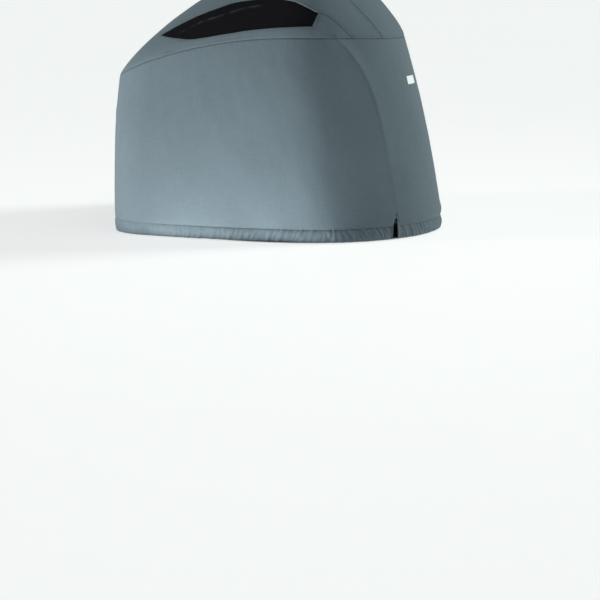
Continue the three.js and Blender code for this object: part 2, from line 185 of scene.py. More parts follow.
def coverPoint(station, rise):  # rise 0 at the hem, 1 at the crown seam, 2 on the crown's spine
    station, rise = np.broadcast_arrays(np.asarray(station, float), np.asarray(rise, float))
    up = np.clip(rise - 1, 0, 1)
    baseX, baseY = planPoint(1, station, np.maximum(0, 1 - up / form["ridge"]["fade"]) ** 2)
    seamZ = seamHeight(baseX)
    t = np.minimum(rise, 1)
    x, y = planPoint(t, station)
    z = seamZ * t
    centreX, tuck = (form["rearX"][0] + form["frontX"][0]) / 2, form["tuck"]
    own = np.abs(turnedStation(station))
    drawnIn = np.interp(own, (tuck["from"], tuck["to"]), (tuck["rear"], tuck["fore"]))
    inward = drawnIn * np.maximum(0, 1 - z / form["hem"]) ** 2 / np.hypot(x - centreX, y)
    wall = np.stack([mix(x, centreX, inward), y * (1 - inward), z], -1)
    # the crown arches from its seam to the spine as part of an ellipse, more or less full
    fullness = mix(through(form["fullRuns"], form["fullness"], runOf(station)), form["round"], up**2)
    along, above = np.maximum(np.cos(up * math.pi / 2), 0), np.sin(up * math.pi / 2)
    size = (along**fullness + above**fullness) ** (-1 / fullness)
    spine = np.clip(baseX, *form["spine"])
    crown = np.stack([mix(spine, baseX, along * size), baseY * along * size,
                      mix(seamZ, form["top"], above * size)], -1)
    return np.where((rise <= 1)[..., None], wall, crown)


def outward(station, rise, aside=0.01, above=0.0067):
    along = coverPoint(station + aside, rise) - coverPoint(station - aside, rise)
    up = coverPoint(station, np.minimum(rise + above, 2)) - coverPoint(station, rise - above)
    normal = np.cross(up, along)
    normal = normal / np.maximum(np.linalg.norm(normal, axis=-1, keepdims=True), 1e-9)
    return np.where((np.asarray(rise) > 2 - above)[..., None], (0, 0, 1), normal)


def solve(low, high, test, halvings=42):  # the last place, from low to high, where the test holds
    for _ in range(halvings):
        middle = (low + high) / 2
        holds = test(middle)
        low, high = np.where(holds, middle, low), np.where(holds, high, middle)
    return (low + high) / 2


def toRow(points):
    return (np.asarray(points) - form["origin"]) / 1000


# The crown's seams, by run along the crown seam and share of the crown's rise.
vent = {
    "runs": (298, 361, 443, 524, 572, 619, 690),
    "lower": (0.113, 0.105, 0.091, 0.077, 0.083, 0.125, 0.21),
    "upper": (0.245, 0.372, 0.427, 0.42, 0.378, 0.325, 0.21),
    "slope": 110, "span": 0.065, "reach": 40,  # slant of the straight rear end
}
dart = {"runs": (201, 225, 239, 270, 298), "rises": (0, 0.08, 0.128, 0.213, 0.245)}
dartStart, ventRear, ventTip = dart["runs"][0], vent["runs"][0], vent["runs"][-1]
crownGap = form["gap"] / 2 / form["crownGirth"]  # half a seam's gap as a share of the crown's rise


def centreHalf(x):
    centre = form["centre"]
    past = np.maximum(0, x - centre["from"]) / centre["length"]
    return centre["half"] - centre["narrowing"] * past**2


def crownStation(run, rise, side):
    middle = (vent["lower"][0] + vent["upper"][0]) / 2
    nearness = np.maximum(0, 1 - np.abs(run - ventRear) / vent["reach"])
    slant = vent["slope"] * np.clip(rise - middle, -vent["span"], vent["span"]) * nearness
    return side * stationAt(run - slant)


def outsideCentre(point, shift=0):
    return np.abs(point[..., 1]) > centreHalf(point[..., 0]) + shift


rearFoot = float(solve(0.0, seamEnds[1], lambda run: ~outsideCentre(coverPoint(stationAt(run), 1))))
frontFoot = float(solve(seamEnds[4], frontRun, lambda run: outsideCentre(coverPoint(stationAt(run), 1))))


def centreRise(run, shift=0):
    return solve(np.zeros(np.shape(run)), np.ones(np.shape(run)),
                 lambda rise: outsideCentre(coverPoint(crownStation(run, rise, 1), 1 + rise), shift))


def ventEdge(run, name):
    return through(vent["runs"], vent[name], run)


def dartRise(run):
    return through(dart["runs"], dart["rises"], run)


# Seam lines and rows of stitching. Each dips the cloth beside it and draws small puckers out of it.
seamSizes = {  # the shade is the painted shade, with a little dust, that darkens the cloth's colour in and beside a groove
    "crownSeam": {"depth": 1.7, "width": 3.4, "pucker": 0.35, "shade": 0.8},
    "centreSeam": {"depth": 1.6, "width": 3.2, "pucker": 0.25, "shade": 0.9},
    "dartSeam": {"depth": 1.5, "width": 3.0, "pucker": 0.2, "shade": 0.9},
    "rearSeam": {"depth": 0.6, "width": 2.0, "pucker": 0.2, "shade": 0.12},
    "slitEdge": {"depth": 1.0, "width": 2.4, "pucker": 0.1, "shade": 0.3},
    "ventEdge": {"depth": 1.6, "width": 3.0, "pucker": 0.2, "shade": 0.0},
    "stitchRow": {"depth": 0.55, "width": 2.1, "pucker": 0.25, "shade": 0.5},
    "puckerSpacing": 13,
    "puckerDrift": ((0.4, 47), (0.25, 21)),  # how far the spacing drifts, and over what length
    "puckerReach": 11,
    "puckerFrom": 3,  # none on the seam itself
    "shadeReach": 1.2,
    "stitchOffset": 6,
    "ventStitchOffset": 5,
    "step": 1.5,
    "probe": 0.02,  # a small rise to measure with
}
tracing = {"crownSeam": 4001, "rearSeam": 601, "centreSeam": 900, "dartSeam": 200, "ventEdge": 400,
           "ventRear": 60}  # points on each path before it is spaced evenly
slit = {
    "height": 50,
    "wall": 21,  # how far each panel's edge swings away at the hem
    "rear": 0.5,
    "blunt": 0.33,
    "reach": 64,  # the cloth beside it gives way as far as this
    "edgeTo": 1.2,  # its turned edges end, and the seam's stitching starts, a little above it
}
seamLines, stitchRows = [], []


def slitOpen(z, panel):  # how far a panel's edge stands from the line of the rear seam
    return form["gap"] / 2 + slit[panel] * np.clip(1 - z / slit["height"], 0, 1) ** slit["blunt"]


def lengthsAlong(points):
    return np.concatenate([[0], np.cumsum(np.linalg.norm(np.diff(points, axis=0), axis=1))])


def evenly(station, rise):  # the same path with a point every step
    along = lengthsAlong(coverPoint(station, rise))
    at = np.linspace(0, along[-1], int(along[-1] / seamSizes["step"]) + 2)
    return np.interp(at, along, station), np.interp(at, along, rise)


def seamLine(kind, station, rise):
    station, rise = evenly(station, rise)
    seamLines.append((kind, coverPoint(station, rise)))
    return station, rise


def stitchBeside(station, rise, by):  # a row of stitching beside a seam, on the smooth crown
    points, normals = coverPoint(station, rise), outward(station, rise)
    tangent = np.gradient(points, axis=0)
    aside = np.cross(normals, tangent / np.linalg.norm(tangent, axis=1, keepdims=True))
    keepStitches(points + aside * by, normals)


def keepStitches(points, normals):
    seamLines.append(("stitchRow", points))
    stitchRows.append((points, normals))


loop = np.linspace(-form["front"], form["front"], tracing["crownSeam"])
seamLine("crownSeam", loop, np.ones(loop.shape))
probe = seamSizes["probe"]
perRise = np.linalg.norm(coverPoint(loop, 1 + probe) - coverPoint(loop, 1), axis=-1) / probe
loopRise = 1 + seamSizes["stitchOffset"] / perRise
keepStitches(coverPoint(loop, loopRise), outward(loop, loopRise))
climb = np.linspace(0, 1, tracing["rearSeam"])
climbHeight = climb * form["seam"]["height"]
sewn = climbHeight > slit["height"]
foot = climbHeight < slit["height"] * slit["edgeTo"]
for side in (1, -1):
    seamLine("rearSeam", side * rearSeamStation(climb)[sewn], climb[sewn])
    for panel, way in (("rear", -1), ("wall", 1)):
        edge = rearSeamStation(climb) + way * slitOpen(climbHeight, panel) / rearLength(climb)
        seamLine("slitEdge", side * edge[foot], climb[foot])
    beside = climb[~foot]
    besideStation = side * (rearSeamStation(beside) + seamSizes["stitchOffset"] / rearLength(beside))
    besideStation, beside = evenly(besideStation, beside)
    keepStitches(coverPoint(besideStation, beside), outward(besideStation, beside))
    run = np.linspace(rearFoot, frontFoot, tracing["centreSeam"])
    rise = centreRise(run)
    line = seamLine("centreSeam", crownStation(run, rise, side), 1 + rise)
    stitchBeside(*line, side * seamSizes["stitchOffset"])
    run = np.linspace(dartStart, ventRear, tracing["dartSeam"])
    line = seamLine("dartSeam", crownStation(run, dartRise(run), side), 1 + dartRise(run))
    stitchBeside(*line, -side * seamSizes["stitchOffset"])
    run = np.linspace(ventRear, ventTip, tracing["ventEdge"])
    back = np.linspace(vent["upper"][0], vent["lower"][0], tracing["ventRear"])
    outlineRun = np.concatenate([run, run[::-1], np.full(len(back), ventRear)])
    outlineRise = np.concatenate([ventEdge(run, "lower"), ventEdge(run[::-1], "upper"), back])
    line = seamLine("ventEdge", crownStation(outlineRun, outlineRise, side), 1 + outlineRise)
    stitchBeside(*line, side * seamSizes["ventStitchOffset"])

seamTree = kdtree.KDTree(sum(len(points) for _, points in seamLines))
seamFacts = []
for kind, points in seamLines:
    sizes = seamSizes[kind]
    for point, along in zip(points, lengthsAlong(points)):
        seamTree.insert(point, len(seamFacts))
        seamFacts.append((sizes["depth"], sizes["width"], sizes["pucker"], sizes["shade"], along))
seamTree.balance()
seamFacts = np.array(seamFacts)
print("seam lines:", len(seamLines), "stitch rows:", len(stitchRows))


def ripples(u, v, wavelength, seed, waves=9, stretch=(0.7, 1.5)):  # soft unevenness from a few plane waves
    draw = np.random.default_rng(seed)
    turns, phases = draw.uniform(0, math.pi, waves), draw.uniform(0, 2 * math.pi, waves)
    lengths = wavelength * draw.uniform(*stretch, waves)
    total = np.zeros(np.broadcast(u, v).shape)
    for turn, phase, length in zip(turns, phases, lengths):
        across = u * math.cos(turn) + v * math.sin(turn)
        total += np.sin(2 * math.pi * across / length + phase)
    return total / math.sqrt(waves)


def seamRelief(points):  # height off the form, distance from a seam, how far it rolls in, its shade
    hits = [seamTree.find(point)[1:] for point in np.asarray(points).reshape(-1, 3)]
    index, away = np.array([hit[0] for hit in hits]), np.array([hit[1] for hit in hits])
    depth, width, pucker, dark, along = seamFacts[index].T
    roll = 1 - np.sqrt(1 - np.clip(1 - away / width, 0, 1) ** 2)
    phase = along / seamSizes["puckerSpacing"]
    for drift, length in seamSizes["puckerDrift"]:
        phase = phase + drift * np.sin(along / length)
    drawn = pucker * np.sin(2 * math.pi * phase) * np.exp(-away / seamSizes["puckerReach"])
    drawn = drawn * np.clip(away / seamSizes["puckerFrom"], 0, 1)
    # painted shade, strongest on the seam line itself
    shade = dark * np.exp(-((away / seamSizes["shadeReach"]) ** 2))
    sewn = depth > seamSizes["stitchRow"]["depth"]  # a seam or a turned edge, not a row of stitching
    found = (drawn - depth * roll, away, np.where(sewn, roll, 0), shade)
    return [values.reshape(np.shape(points)[:-1]) for values in found]


cloth = {
    "thickness": 2,
    "edge": 0.55,  # share of it that is lost where an edge rolls in
    "broad": 0.55,  # loose unevenness, broad and fine, that calms down beside the seams
    "broadLength": 190,
    "fine": 0.14,
    "fineLength": 48,
    "calm": 45,
    "weld": 0.02,
    "sharp": 55,  # degrees past which an edge is not smoothed
    "seeds": {"wall": 3, "rear": 40, "port": 20, "starboard": 30, "centre": 60},
}


def wornPoints(station, rise, maps, panel, extra=0, thicker=0):
    points, normals = coverPoint(station, rise), outward(station, rise)
    relief, away, roll, shade = seamRelief(points)
    u, v, seed = maps[..., 0], maps[..., 1], cloth["seeds"][panel]
    loose = cloth["broad"] * ripples(u, v, cloth["broadLength"], seed)
    loose = loose + cloth["fine"] * ripples(u, v, cloth["fineLength"], seed + 1)
    relief = relief + loose * np.clip(away / cloth["calm"], 0, 1) + extra
    thick = (cloth["thickness"] + thicker) * (1 - cloth["edge"] * roll)
    return points + normals * relief[..., None], normals, shade, thick, maps


class Sheet:  # outer points with their directions; closing gives the cloth its inner side and its rims
    def __init__(self):
        self.layers, self.faces, self.count = [], [], 0

    def lay(self, points, normals, shade, thick, maps):  # columns that rise side by side
        index = self.count + np.arange(shade.size).reshape(shade.shape)
        self.count += shade.size
        layer = np.concatenate([points, normals, shade[..., None], thick[..., None], maps], -1)
        self.layers.append(layer.reshape(shade.size, -1))
        quads = np.stack([index[:-1, :-1], index[:-1, 1:], index[1:, 1:], index[1:, :-1]], -1)
        self.faces += quads.reshape(-1, 4).tolist()
        return index

    def close(self, name, material):
        layer = np.concatenate(self.layers)
        cells = np.round(layer[:, :3] / cloth["weld"]).astype(int)  # points in one cell are joined
        _, first, same = np.unique(cells, axis=0, return_index=True, return_inverse=True)
        layer, same, count = layer[first], same.ravel(), len(first)
        points, normals, shade, thick, maps = np.split(layer, (3, 6, 7, 8), axis=1)  # in the order of lay
        faces = []
        for face in self.faces:  # corners that fell together go, and faces that vanish
            ring = [same[v] for v in face]
            ring = [int(v) for i, v in enumerate(ring) if v != ring[i - 1]]
            if len(set(ring)) > 2:
                faces.append(ring)
        openEdges = {}
        for face in faces:  # an edge that two faces share is not open
            for i, a in enumerate(face):
                b = face[(i + 1) % len(face)]
                if openEdges.pop((b, a), None) is None:
                    openEdges[a, b] = True
        inner = [[v + count for v in reversed(face)] for face in faces]
        rims = [[b, a, a + count, b + count] for a, b in openEdges]
        both = np.concatenate([points, points - normals * thick])
        return clothObject(name, both, faces + inner + rims, np.tile(maps, (2, 1)),
                           np.tile(shade.ravel(), 2), material)


def clothObject(name, points, faces, maps, shade, material):
    mesh = bpy.data.meshes.new(name)
    mesh.from_pydata(toRow(points).tolist(), [], faces)
    corner = np.zeros(len(mesh.loops), int)
    mesh.loops.foreach_get("vertex_index", corner)
    layer = mesh.uv_layers.new(name="cloth")
    layer.data.foreach_set("uv", (maps[corner] / 1000).astype(np.float32).ravel())  # metres of cloth
    mesh.attributes.new("seamShade", "FLOAT", "POINT").data.foreach_set("value", shade.astype(np.float32))
    mesh.shade_smooth()
    mesh.set_sharp_from_angle(angle=math.radians(cloth["sharp"]))
    mesh.materials.append(material)
    mesh.validate()
    piece = bpy.data.objects.new(name, mesh)
    bpy.context.scene.collection.objects.link(piece)
    return piece


def addNode(tree, kind, settings=(), links=()):
    node = tree.nodes.new(kind)
    for name, value in dict(settings).items():
        if isinstance(name, int) or name in node.inputs:
            node.inputs[name].default_value = value
        else:
            setattr(node, name, value)
    for name, socket in dict(links).items():
        tree.links.new(socket, node.inputs[name])
    return node


def faceCounts(*pieces):
    return ", ".join(str(len(piece.data.polygons)) for piece in pieces) + " faces"


def linear(colour):  # sRGB hex to linear
    parts = [int(colour[i:i + 2], 16) / 255 for i in (1, 3, 5)]
    return [c / 12.92 if c <= 0.04045 else ((c + 0.055) / 1.055) ** 2.4 for c in parts] + [1]


def newMaterial(name, finish):  # the finish is what is the same all over
    material = bpy.data.materials.new(name)
    material.use_nodes = True
    shader = material.node_tree.nodes["Principled BSDF"]
    for socket, value in finish.items():
        shader.inputs[socket].default_value = value
    return material, material.node_tree, shader


def perMetre(millimetres):
    return 1000 / millimetres


def waveScale(millimetres):  # a band of the wave texture is pi / 10 units wide at scale 1
    return math.pi / 10 * perMetre(millimetres)


# Solution-dyed polyester canvas with a thin coating: matte grey-teal, a faint cross-hatch of uneven yarns
# and a soft even tone. The real plain weave is about 0.5 mm, so it is drawn at 1.6 mm to show close up.
canvasLook = {
    "dark": "#56636a",
    "light": "#5d6b72",
    # colour of the painted shade in the seams' grooves
    "grooveShade": "#2e363a",
    "grooveShare": 0.6,
    "weave": 1.6,
    "weaveBump": (0.25, 0.0004),  # strength, and height in metres
    "slub": (1.6, 34),  # width and length of a thicker stretch of yarn
    "slubBump": (0.3, 0.0005),
    "fade": 240,
    "tone": (1.1, 1.9),  # where the summed noises give the dark and the light yarn
    "roughness": (0.72, 0.86),
    "finish": {"IOR": 1.45, "Specular IOR Level": 0.2, "Sheen Weight": 0.04, "Sheen Roughness": 0.5},
}


def canvasMaterial():
    look = canvasLook
    material, tree, shader = newMaterial("coatedPolyesterCanvas", look["finish"])
    maps = addNode(tree, "ShaderNodeUVMap", {"uv_map": "cloth"}).outputs[0]
    yarns = []
    for way in ("X", "Y"):  # warp and weft
        wave = addNode(tree, "ShaderNodeTexWave",
                       {"bands_direction": way, "Scale": waveScale(look["weave"])}, {"Vector": maps})
        yarns.append(wave.outputs[1])
    weave = addNode(tree, "ShaderNodeMath", {"operation": "SUBTRACT"}, {0: yarns[0], 1: yarns[1]})
    weave = addNode(tree, "ShaderNodeMath", {"operation": "ABSOLUTE"}, {0: weave.outputs[0]})
    short, long = (perMetre(size) for size in look["slub"])
    slubs = []
    for scale in ((short, long, 1), (long, short, 1)):
        stretched = addNode(tree, "ShaderNodeMapping", {"Scale": scale}, {"Vector": maps})
        noise = addNode(tree, "ShaderNodeTexNoise", {"noise_dimensions": "2D", "Scale": 1, "Detail": 2},
                        {"Vector": stretched.outputs[0]})
        slubs.append(noise.outputs[0])
    slub = addNode(tree, "ShaderNodeMath", {"operation": "ADD"}, {0: slubs[0], 1: slubs[1]})
    fade = addNode(tree, "ShaderNodeTexNoise",
                   {"noise_dimensions": "2D", "Scale": perMetre(look["fade"]), "Detail": 3},
                   {"Vector": maps})
    tone = addNode(tree, "ShaderNodeMath", {"operation": "ADD"}, {0: slub.outputs[0], 1: fade.outputs[0]})
    tone = addNode(tree, "ShaderNodeMapRange", {"From Min": look["tone"][0], "From Max": look["tone"][1]},
                   {"Value": tone.outputs[0]})
    yarn = addNode(tree, "ShaderNodeMix",
                   {"data_type": "RGBA", 6: linear(look["dark"]), 7: linear(look["light"])},
                   {0: tone.outputs[0]})
    # painted shade: the cloth is darkened toward the grooveShade colour along seams and stitch rows
    near = addNode(tree, "ShaderNodeAttribute", {"attribute_name": "seamShade"})
    grooveShade = addNode(tree, "ShaderNodeMath", {"operation": "MULTIPLY", 1: look["grooveShare"]},
                     {0: near.outputs["Fac"]})
    colour = addNode(tree, "ShaderNodeMix", {"data_type": "RGBA", 7: linear(look["grooveShade"])},
                     {0: grooveShade.outputs[0], 6: yarn.outputs[2]})
    rough = addNode(tree, "ShaderNodeMapRange",
                    {"To Min": look["roughness"][0], "To Max": look["roughness"][1]},
                    {"Value": fade.outputs[0]})
    weaveBump = addNode(tree, "ShaderNodeBump",
                        {"Strength": look["weaveBump"][0], "Distance": look["weaveBump"][1]},
                        {"Height": weave.outputs[0]})
    slubBump = addNode(tree, "ShaderNodeBump",
                       {"Strength": look["slubBump"][0], "Distance": look["slubBump"][1]},
                       {"Height": slub.outputs[0], "Normal": weaveBump.outputs[0]})
    tree.links.new(colour.outputs[2], shader.inputs["Base Color"])
    tree.links.new(rough.outputs[0], shader.inputs["Roughness"])
    tree.links.new(slubBump.outputs[0], shader.inputs["Normal"])
    return material


# Vinyl-coated polyester net, black and dull, with a painted highlight in grey along its crease.
netLook = {
    "dark": "#0b0b0d",
    "light": "#151518",
    "creaseAndHighlight": "#414147",
    "uneven": 14,
    "patches": (0.3, 0.62),  # noise where the painted highlight starts, and where it is full
    "roughness": (0.75, 0.9),
    "finish": {"IOR": 1.53, "Specular IOR Level": 0.08},
}


def netMaterial():
    look = netLook
    material, tree, shader = newMaterial("vinylCoatedNet", look["finish"])
    place = addNode(tree, "ShaderNodeTexCoord").outputs["Object"]
    grime = addNode(tree, "ShaderNodeTexNoise", {"Scale": perMetre(look["uneven"]), "Detail": 3},
                    {"Vector": place})
    yarn = addNode(tree, "ShaderNodeMix",
                   {"data_type": "RGBA", 6: linear(look["dark"]), 7: linear(look["light"])},
                   {0: grime.outputs[0]})
    # painted highlight: the net is lightened along its crease, in patches
    creaseAndHighlight = addNode(tree, "ShaderNodeAttribute", {"attribute_name": "creaseAndHighlight"})
    patches = addNode(tree, "ShaderNodeMapRange",
                      {"From Min": look["patches"][0], "From Max": look["patches"][1]},
                      {"Value": grime.outputs[0]})
    patchy = addNode(tree, "ShaderNodeMath", {"operation": "MULTIPLY"},
                     {0: creaseAndHighlight.outputs["Fac"], 1: patches.outputs[0]})
    colour = addNode(tree, "ShaderNodeMix", {"data_type": "RGBA", 7: linear(look["creaseAndHighlight"])},
                     {0: patchy.outputs[0], 6: yarn.outputs[2]})
    rough = addNode(tree, "ShaderNodeMapRange",
                    {"To Min": look["roughness"][0], "To Max": look["roughness"][1]},
                    {"Value": grime.outputs[0]})
    tree.links.new(colour.outputs[2], shader.inputs["Base Color"])
    tree.links.new(rough.outputs[0], shader.inputs["Roughness"])
    return material


# Bonded polyester sewing thread with the soft shine of twisted yarn, and bands of painted shade and painted
# highlight along its twist: a darker grey than the canvas along the seams, paler where a slit ends, and white
# on the label.
threadLook = {
    "polyesterThread": ("#37434a", "#4f5d64"),  # painted shade and painted highlight of the twist
    "palePolyesterThread": ("#a3abae", "#c6cccd"),
    "whitePolyesterThread": ("#c9cbcc", "#e9e9e7"),
    "twist": 0.9,
    "waver": 2,
    "finish": {"Roughness": 0.6, "Sheen Weight": 0.2},
}


def threadMaterial(name):
    material, tree, shader = newMaterial(name, threadLook["finish"])
    dark, light = (linear(colour) for colour in threadLook[name])
    place = addNode(tree, "ShaderNodeTexCoord").outputs["Object"]
    twist = addNode(tree, "ShaderNodeTexWave",
                    {"bands_direction": "DIAGONAL", "Distortion": threadLook["waver"],
                     "Scale": waveScale(threadLook["twist"])}, {"Vector": place})
    # the twist's bands are painted shade and painted highlight
    colour = addNode(tree, "ShaderNodeMix", {"data_type": "RGBA", 6: dark, 7: light}, {0: twist.outputs[1]})
    tree.links.new(colour.outputs[2], shader.inputs["Base Color"])
    return material


# Woven satin label of white polyester: fine ribs across it, softly shiny, with painted shade in their valleys
# and a painted highlight on their tops. The ribs are drawn three times too wide, to show close up.
labelLook = {
    "dark": "#dcdedf",
    "light": "#f3f3f1",
    "rib": 1.4,
    "waver": 0.4,
    "ribBump": (0.3, 0.0002),
    "finish": {"Roughness": 0.5, "Sheen Weight": 0.1},
}


def labelMaterial():
    look = labelLook
    material, tree, shader = newMaterial("wovenSatinLabel", look["finish"])
    maps = addNode(tree, "ShaderNodeUVMap", {"uv_map": "cloth"}).outputs[0]
    ribs = addNode(tree, "ShaderNodeTexWave",
                   {"bands_direction": "Y", "Distortion": look["waver"], "Scale": waveScale(look["rib"])},
                   {"Vector": maps})
    # painted shade and painted highlight: the colour follows the ribs' height
    colour = addNode(tree, "ShaderNodeMix",
                     {"data_type": "RGBA", 6: linear(look["dark"]), 7: linear(look["light"])},
                     {0: ribs.outputs[1]})
    bump = addNode(tree, "ShaderNodeBump",
                   {"Strength": look["ribBump"][0], "Distance": look["ribBump"][1]},
                   {"Height": ribs.outputs[1]})
    tree.links.new(colour.outputs[2], shader.inputs["Base Color"])
    tree.links.new(bump.outputs[0], shader.inputs["Normal"])
    return material


canvas, net = canvasMaterial(), netMaterial()
thread = threadMaterial("polyesterThread")
paleThread = threadMaterial("palePolyesterThread")
whiteThread = threadMaterial("whitePolyesterThread")
satin = labelMaterial()
print("materials made:", len(bpy.data.materials))

# The gathered hem: a turned casing stitched along its top, drawn in so that it puckers.
hemSizes = {
    "puff": 1.6,  # the casing stands off the wall
    "puffRound": 0.6,
    "stitchDip": 0.8,
    "stitchWidth": 1.6,
    "drawn": 2.2,  # its stitching is drawn in
    "drawnReach": 9,
    "rearTo": 330,  # on the rear, as far as this run along the hem, the whole casing is
    "rearFade": 90,
    "rearDrawn": 3.2,
    "rearDrawnFade": 10,
    "flare": 2.2,  # and the wall flares above it
    "flareAt": 17,
    "flareWidth": 8,
    "strongTo": 720,  # run where the gathers start to flatten, and where only some is left
    "quietAt": 940,
    "quiet": 0.3,
    "seamCalm": 7,  # they start this far from a rear seam
    "turned": 1.8,  # extra thickness of the turned cloth, which ends a little above the stitching
    "turnedOver": 2,
    "turnedFade": 4,
    "fold": 1.1,  # how far its lower fold rolls in
    "foldWidth": 2.4,
}
puckerSizes = {
    "layers": ((1.0, (11, 22), 300), (0.36, (5, 9), 560)),  # share of the height, spacing, how many
    "start": -320,  # run along the hem of the first
    "stand": 4.3,
    "rearStand": 0.6,  # share of it on the rear
    "vary": (0.25, 1.0),
    "crest": 0.85,
    "level": 0.25,  # taken off again, so that the hem keeps its girth
    "middle": (4, 26),  # height of each, and how far it reaches up and down
    "reach": (9, 24),
    "fadeAbove": 3,
    "slant": 0.6,  # they lean toward the rear on the sides and the other way on the rear
    "slantVary": 0.2,
    "slantTurns": 435,  # run where the lean changes, and over what length
    "slantTurn": 40,
    "slantRear": 50,  # it comes and goes over these lengths at the rear centre and toward the front
    "slantFade": 200,
    "seed": 11,
}
draw = np.random.default_rng(puckerSizes["seed"])
puckerLayers = []
for share, spacing, count in puckerSizes["layers"]:
    puckerLayers.append({
        "edges": puckerSizes["start"] + np.cumsum(draw.uniform(*spacing, count)),
        "stand": share * draw.uniform(*puckerSizes["vary"], count),
        "slant": draw.normal(0, puckerSizes["slantVary"], count),
        "middle": draw.uniform(*puckerSizes["middle"], count),
        "reach": draw.uniform(*puckerSizes["reach"], count),
    })


def puckerFolds(along, half, side, z):
    sizes = puckerSizes
    turned = np.tanh((half - sizes["slantTurns"]) / sizes["slantTurn"])
    lean = sizes["slant"] * turned * np.tanh(half / sizes["slantRear"])
    lean = lean * np.clip((hemSizes["quietAt"] - half) / sizes["slantFade"], 0, 1)
    folds = 0
    for layer in puckerLayers:
        edges = layer["edges"]
        own = lean + np.interp(along, edges, layer["slant"])
        phase = np.interp(along + side * own * (z - form["hem"] / 2), edges, np.arange(len(edges)))
        stand, middle, reach = (layer[key][phase.astype(int)] for key in ("stand", "middle", "reach"))
        crest = np.abs(np.sin(math.pi * phase)) ** sizes["crest"]
        folds = folds + stand * (crest * np.exp(-(((z - middle) / reach) ** 2)))
    return folds - sizes["level"]


def hemRelief(along, half, side, z):  # run all round the hem, run from the rear centre, side, height
    sizes, off = hemSizes, z - form["hem"]
    rear = np.clip((sizes["rearTo"] - half) / sizes["rearFade"], 0, 1)
    above = np.exp(-np.maximum(0, off) / puckerSizes["fadeAbove"])
    stand = puckerSizes["stand"] * mix(1, puckerSizes["rearStand"], rear)
    puckers = stand * puckerFolds(along, half, side, z) * above
    bow = np.clip(np.sin(math.pi * np.clip(z / form["hem"], 0, 1)), 0, 1)
    casing = sizes["puff"] * bow ** sizes["puffRound"]
    dip = sizes["stitchDip"] * np.exp(-((off / sizes["stitchWidth"]) ** 2))
    dip = dip + sizes["drawn"] * np.exp(-np.abs(off) / sizes["drawnReach"])
    pulled = sizes["flare"] * np.exp(-(((off - sizes["flareAt"]) / sizes["flareWidth"]) ** 2))
    pulled = pulled - sizes["rearDrawn"] * np.clip(0.5 - off / sizes["rearDrawnFade"], 0, 1)
    flatter = np.clip((half - sizes["strongTo"]) / (sizes["quietAt"] - sizes["strongTo"]), 0, 1)
    return mix(1, sizes["quiet"], flatter) * (puckers + casing - dip) + rear * pulled


def foldRoll(z):  # the hem's lower edge is a rounded fold
    return 1 - np.sqrt(1 - np.clip(1 - z / hemSizes["foldWidth"], 0, 1) ** 2)


# Faint drag wrinkles under the crown seam, where the cloth is pulled up and back.
dragSizes = {"count": 60, "start": -300, "spacing": (30, 95), "below": (18, 85), "length": (18, 40),
             "width": (4.5, 8), "lean": (0.45, 1.1), "height": (0.25, 0.85), "calm": 16, "seed": 5}
draw = np.random.default_rng(dragSizes["seed"])
dragPlaces = dragSizes["start"] + np.cumsum(draw.uniform(*dragSizes["spacing"], dragSizes["count"]))
dragFacts = [draw.uniform(*dragSizes[key], dragSizes["count"])
             for key in ("below", "length", "width", "lean", "height")]


def dragRelief(along, side, below):  # below is the distance down from the crown seam
    total = np.zeros(np.broadcast(along, below).shape)
    for place, middle, length, width, lean, height in zip(dragPlaces, *dragFacts):
        aside, down = side * (along - place), below - middle
        turn = math.atan(lean)
        ahead = aside * math.cos(turn) + down * math.sin(turn)
        across = down * math.cos(turn) - aside * math.sin(turn)
        total += height * np.exp(-((ahead / length) ** 2) - (across / width) ** 2)
    return total * np.clip(below / dragSizes["calm"], 0, 1)


# Wall and rear panel: columns that glide along the rear seams, finer in the hem.
wallGrid = {
    "hemStep": 2.3,
    "edge": (0, 0.8, 1.7, 2.8, 4.2, 6),  # columns beside a rear seam
    "hemRows": (0, 0.5, 1.2, 2.2, 4, 6.5, 9.5, 12.5, 15.5, 18.5, 21.5, 24, 26, 27.6, 28.8, 30, 31.2, 32.6,
                34.6, 38, 43, 47.2, 49.4, 50.3),
    "rows": 42,  # above those
}
seamRun = form["rearSeam"]["low"] * form["plan"][0][0]


def glide(run, t):  # station, at wall share t, of the column that starts at this run on the hem
    hemStation = np.interp(run, hemEnds, stations)
    low, here = rearSeamStation(0), rearSeamStation(t)
    beside = mix(here, 1, (hemStation - low) / (1 - low))
    ahead = np.where(hemStation < 1, beside, hemStation)
    return np.where(hemStation <= low, hemStation / low * here, ahead)


def wallPoints(run, height, side, panel):
    seamZ = seamHeight(planPoint(1, glide(run, 1.0))[0])
    t = height / seamZ
    station = glide(run, t)
    toSeam = np.abs(station - rearSeamStation(t)) * rearLength(t)
    swung = slitOpen(height, panel) * np.maximum(0, 1 - toSeam / slit["reach"]) ** 2 / rearLength(t)
    station = side * (station + (swung if panel == "wall" else -swung))
    along = np.where(side > 0, run, 2 * hemEnds[-1] - run) if panel == "wall" else side * run
    gathered = hemRelief(along, run, side, height) + dragRelief(along, side, seamZ - height)
    rolled = hemSizes["fold"] * foldRoll(height)
    extra = gathered * np.clip(toSeam / hemSizes["seamCalm"], 0, 1) - rolled
    doubled = np.clip((form["hem"] + hemSizes["turnedOver"] - height) / hemSizes["turnedFade"], 0, 1)
    maps = np.stack(np.broadcast_arrays(along, height), -1)
    rise = np.minimum(t, 1 - form["gap"] / 2 / form["seam"]["height"])
    return wornPoints(station, rise, maps, panel, extra, hemSizes["turned"] * doubled - 2 * rolled)


